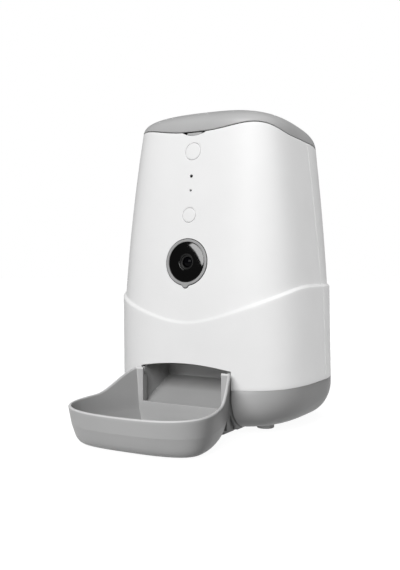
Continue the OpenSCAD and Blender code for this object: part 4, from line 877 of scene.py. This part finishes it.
# Desiccant cup: a white ABS cup under the liner that holds a drying bag. A slotted cap snaps into
# it from below, so that the bag can be changed.
CUP_R, CUP_H, CUP_WALL, CUP_EDGE = 30.0, 13.0, 1.8, 0.5
CAP_GAP, CAP_T, CAP_EDGE = 0.2, 2.0, 0.4
VENT_COUNT, VENT_PITCH, VENT_HALF, VENT_HALF_WIDE = 5, 7.5, 15.0, 1.2
cup_low, cup_in, cup_roof = LINER_Z - CUP_H, CUP_R - CUP_WALL, LINER_Z - CUP_WALL
cup = lathe([(AXIS, cup_roof), (cup_in, cup_roof), (cup_in, cup_low + 0.3), (cup_in + 0.3, cup_low),
             (CUP_R - CUP_EDGE, cup_low), (CUP_R - 0.3 * CUP_EDGE, cup_low + 0.3 * CUP_EDGE),
             (CUP_R, cup_low + CUP_EDGE), (CUP_R, LINER_Z), (AXIS, LINER_Z)], 128)
dress(mesh_piece("desiccant_cup", *cup, white_abs), "lid", "desiccant_cup")
cap_disc = lathe(rounded(cup_in - CAP_GAP, cup_low, cup_low + CAP_T, CAP_EDGE), 128)
cap_plate = mesh_piece("desiccant_cap", *cap_disc, white_abs)
vents = [(VENT_PITCH * (k - (VENT_COUNT - 1) / 2), 0, cup_low + CAP_T / 2) for k in range(VENT_COUNT)]
cut(cap_plate, repeated("vents", slot(VENT_HALF, VENT_HALF_WIDE, 2 * CAP_T), vents, white_abs, (0, 0, 90)))
dress(cap_plate, "lid", "desiccant_cap")

# Inner works: the dispenser and its drive, the boards, the speaker and the inlet keep their CAD
# solids and take the finish of what they are made of.
MARK_LONG_MM, MARK_SPREAD = 16.7, 0.08


def plated(name, pale, deep, rough, stripe_mm, metallic=1.0):
    """Plated or machined metal: fine turning marks as stripes of tone and roughness."""
    material = bpy.data.materials.new(name)
    material.use_nodes = True
    tree = material.node_tree
    shader = tree.nodes["Principled BSDF"]
    place = node(tree, "ShaderNodeTexCoord").outputs["Object"]
    across, along = 1 / (stripe_mm * MM), 1 / (MARK_LONG_MM * MM)
    stretch = node(tree, "ShaderNodeMapping", {"Vector": place, "Scale": (across, along, along)})
    marks = node(tree, "ShaderNodeTexNoise", {
        "Vector": stretch.outputs["Vector"], "Scale": 1.0, "Detail": 2.0})
    tone = node(tree, "ShaderNodeValToRGB", {"Fac": marks.outputs["Fac"]})
    for stop, colour in zip(tone.color_ramp.elements, (deep, pale)):
        stop.color = linear(colour)
    shine = node(tree, "ShaderNodeMapRange", {
        "Value": marks.outputs["Fac"], "To Min": rough - MARK_SPREAD, "To Max": rough + MARK_SPREAD})
    tree.links.new(tone.outputs["Color"], shader.inputs["Base Color"])
    tree.links.new(shine.outputs["Result"], shader.inputs["Roughness"])
    shader.inputs["Metallic"].default_value = metallic
    return material


# Acetal is a waxy cream, the paddles a dull grey rubber, the boards a deep green varnish.
acetal = moulded("natural acetal", "#E2DCCB", "#DBD4C1", 0.35, 0.5, 0.06)
soft_paddle = moulded("grey paddle rubber", "#8C8C8A", "#858583", 0.6, 0.8, 0.25, 1.52)
solder_mask = moulded("green solder mask", "#1F6B3A", "#1A5F33", 0.3, 0.9, 0.1)
# The metals glint in thin lines: cool zinc on the shafts, a duller can, yellow brass on the pinion.
zinc_steel = plated("zinc plated steel", "#C8CACC", "#A9ABAE", 0.3, 0.3)
motor_can = plated("plated motor can", "#BFC1C4", "#A4A6A9", 0.35, 0.5)
pinion_brass = plated("machined brass", "#D9B766", "#C19C4B", 0.28, 0.3)
for names, finish in (
        (("chassis_deck", "dispenser_housing", "gear_cover"), natural_abs),
        (("shaft_bushes", "index_cam", "drive_gear", "idler_gear"), acetal),
        (("paddle_rotor",), soft_paddle),
        (("camera_board", "button_board", "main_board"), solder_mask),
        (("index_switch", "tact_switches", "microphone", "speaker", "power_inlet"), black_abs),
        (("rotor_shaft", "idler_axle", "hinge_pin"), zinc_steel),
        (("gear_motor",), motor_can),
        (("motor_pinion",), pinion_brass)):
    for name in names:
        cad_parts[name].data.materials.clear()
        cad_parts[name].data.materials.append(finish)

# Screws: zinc plated pan heads with a cross recess and a rolled thread. They hold the deck to its
# posts, the dispenser to the deck, the motor to the drum and the board to its standoffs.
THREAD_PITCH, THREAD_DEPTH, RECESS_DEEP = 1.0, 0.25, 1.1
DECK_TOP, BOARD_TOP = 66.0, 13.6
DISPENSER_SPOTS = [(x, y, 68.6) for x in (-56, 56) for y in (-71, -61)]
MOTOR_SPOTS = [(39, y, 86.41) for y in (-6.75, 10.25)]


def screw(head_r, head_h, shank_r, shank_len):
    """Points and faces of one screw: its head sits on local Z = 0."""
    crest = np.arange(0.6, shank_len - 0.3, THREAD_PITCH / 2)
    thread = [(shank_r - THREAD_DEPTH * (i % 2), -z) for i, z in enumerate(crest)]
    head = [(AXIS, head_h), (head_r * 0.45, head_h * 0.96), (head_r * 0.8, head_h * 0.8),
            (head_r, head_h * 0.35), (head_r, 0)]
    profile = head + [(shank_r, 0)] + thread + [(shank_r - 0.4, -shank_len), (AXIS, -shank_len)]
    to_origin = Matrix.Translation((0, -PARTING_Y, 0))
    made = mesh_piece("screw", *placed(lathe(profile, 48), to_origin), zinc_steel)
    deep, wing, arm = head_h - min(RECESS_DEEP, head_h * 0.7), head_r * 0.12, head_r * 0.55
    for x, y in ((arm, wing), (wing, arm)):
        cut(made, placed(block((-x, -y, deep), (x, y, head_h + 1)), to_origin))
    points = np.array([v.co for v in made.data.vertices]) / MM
    faces = [tuple(f.vertices) for f in made.data.polygons]
    bpy.data.objects.remove(made)
    return points, faces


for name, size, spots, turn in (
        ("deck_screws", (3.0, 2.0, 1.4, 14.0), [(x, y, DECK_TOP) for x, y in FOOT_SPOTS], (0, 0, 0)),
        ("dispenser_screws", (3.0, 2.0, 1.4, 5.6), DISPENSER_SPOTS, (0, 0, 0)),
        ("motor_screws", (2.2, 0.7, 1.4, 7.0), MOTOR_SPOTS, (0, 90, 0)),
        ("board_screws", (2.2, 1.6, 1.1, 4.6), [(x, y, BOARD_TOP) for x, y in STANDOFF_SPOTS], (0, 0, 0))):
    dress(repeated(name, screw(*size), spots, zinc_steel, turn), "housing", name)

# Studio: a floor that reads as white but keeps the shadow, and the camera where the photograph was
# taken from. A broad soft key stands above the camera; weaker lamps lift the right side, the back,
# the bowl, the chute and the feet, and a narrow strip shows only in the camera window.
AMBIENT, SKY_IN_GLOSS = 0.13, 0.08
FLOOR_TONE, FLOOR_LIFT, FLOOR_NEAR, FLOOR_FAR, FLOOR_HALF = "#707070", 0.95, 0.3, 1.1, 6.0
WHITE = (1, 1, 1, 1)
SENSOR, FOCAL = 36.0, 47.7
EYE_PLACE, EYE_PITCH, EYE_TURN = (0.34854, -0.63535, 0.15104), 88.556, 29.61
floor_mesh = bpy.data.meshes.new("floor")
corners = [(x * FLOOR_HALF, y * FLOOR_HALF, 0) for x, y in ((-1, -1), (1, -1), (1, 1), (-1, 1))]
floor_mesh.from_pydata(corners, [], [(0, 1, 2, 3)])
floor = bpy.data.objects.new("floor", floor_mesh)
bpy.context.scene.collection.objects.link(floor)
# Matt grey paint that glows for the eye alone: white far off, a touch darker under the object.
floor_paint = bpy.data.materials.new("pale floor")
floor_paint.use_nodes = True
tree = floor_paint.node_tree
tree.nodes.clear()
path = node(tree, "ShaderNodeLightPath").outputs
seen = node(tree, "ShaderNodeMath", {
    0: path["Is Camera Ray"], 1: path["Is Glossy Ray"]}, operation="MAXIMUM")
seen = node(tree, "ShaderNodeMath", {
    0: seen.outputs[0], 1: path["Is Transmission Ray"]}, operation="MAXIMUM")
place = node(tree, "ShaderNodeTexCoord").outputs["Object"]
away = node(tree, "ShaderNodeVectorMath", {0: place}, operation="LENGTH")
fade = node(tree, "ShaderNodeMapRange", {
    "Value": away.outputs["Value"], "From Min": FLOOR_NEAR, "From Max": FLOOR_FAR,
    "To Min": FLOOR_LIFT, "To Max": 1.0})
lift = node(tree, "ShaderNodeMath", {0: seen.outputs[0], 1: fade.outputs["Result"]}, operation="MULTIPLY")
matt = node(tree, "ShaderNodeBsdfDiffuse", {"Color": linear(FLOOR_TONE)})
glow = node(tree, "ShaderNodeEmission", {"Color": WHITE, "Strength": lift.outputs[0]})
both = node(tree, "ShaderNodeAddShader", {0: matt.outputs[0], 1: glow.outputs[0]})
node(tree, "ShaderNodeOutputMaterial", {"Surface": both.outputs[0]})
floor_mesh.materials.append(floor_paint)

world = bpy.data.worlds.new("studio")
bpy.context.scene.world = world
world.use_nodes = True
tree = world.node_tree
tree.nodes.clear()
path = node(tree, "ShaderNodeLightPath").outputs
seen = node(tree, "ShaderNodeMath", {
    0: path["Is Camera Ray"], 1: path["Is Transmission Ray"]}, operation="MAXIMUM")
dim = node(tree, "ShaderNodeMapRange", {
    "Value": path["Is Glossy Ray"], "To Min": AMBIENT, "To Max": SKY_IN_GLOSS})
strength = node(tree, "ShaderNodeMapRange", {
    "Value": seen.outputs[0], "To Min": dim.outputs["Result"], "To Max": 1.0})
sky = node(tree, "ShaderNodeBackground", {"Color": WHITE, "Strength": strength.outputs["Result"]})
node(tree, "ShaderNodeOutputWorld", {"Surface": sky.outputs[0]})


def softbox(name, place, target, size, power, only=(), roll=0.0, gloss=True):
    """A rectangular lamp that faces its target, in metres and watts. only: the pieces that it
    lights, if not all; gloss: whether shiny faces mirror it."""
    lamp = bpy.data.lights.new(name, "AREA")
    lamp.shape, lamp.size, lamp.size_y, lamp.energy = "RECTANGLE", size[0], size[1], power
    made = bpy.data.objects.new(name, lamp)
    made.location = place
    facing = (Vector(target) - Vector(place)).to_track_quat("-Z", "Y").to_matrix()
    made.rotation_euler = (facing @ Matrix.Rotation(math.radians(roll), 3, "Z")).to_euler()
    made.visible_camera = False
    made.visible_glossy = gloss
    bpy.context.scene.collection.objects.link(made)
    if only:
        made.light_linking.receiver_collection = bpy.data.collections.new(name + " lights")
        for piece in only:
            made.light_linking.receiver_collection.objects.link(piece)


softbox("key", (0.4, -2.62, 1.72), (0, 0, 0.16), (1.95, 1.65), 90)
softbox("side", (1.85, 0.4, 0.9), (0, 0, 0.2), (1.0, 1.0), 17, (front, rear, lid), gloss=False)
softbox("back", (-0.9, 1.7, 1.1), (0, 0, 0.15), (1.2, 1.0), 34, gloss=False)
softbox("low", (-0.3, -1.9, 0.2), (0, -0.15, 0.02), (0.8, 0.4), 8, (bowl,))
softbox("inner", (-0.3, -1.9, 0.2), (0, -0.05, 0.04), (0.8, 0.4), 5, (chute,))
softbox("foot", (0.9, -1.6, 0.12), (0.05, 0, 0), (0.8, 0.2), 7, (feet,))
softbox("strip", (-0.5927, -1.3705, 0.5439), (0, -0.046, 0.155), (0.326, 0.155), 1.75, (window,), -45.6)

lens = bpy.data.cameras.new("camera")
lens.sensor_width, lens.lens = SENSOR, FOCAL
eye = bpy.data.objects.new("camera", lens)
eye.location = EYE_PLACE
eye.rotation_euler = (math.radians(EYE_PITCH), 0, math.radians(EYE_TURN))
bpy.context.scene.collection.objects.link(eye)
bpy.context.scene.camera = eye
bpy.context.scene.view_settings.view_transform = "Standard"
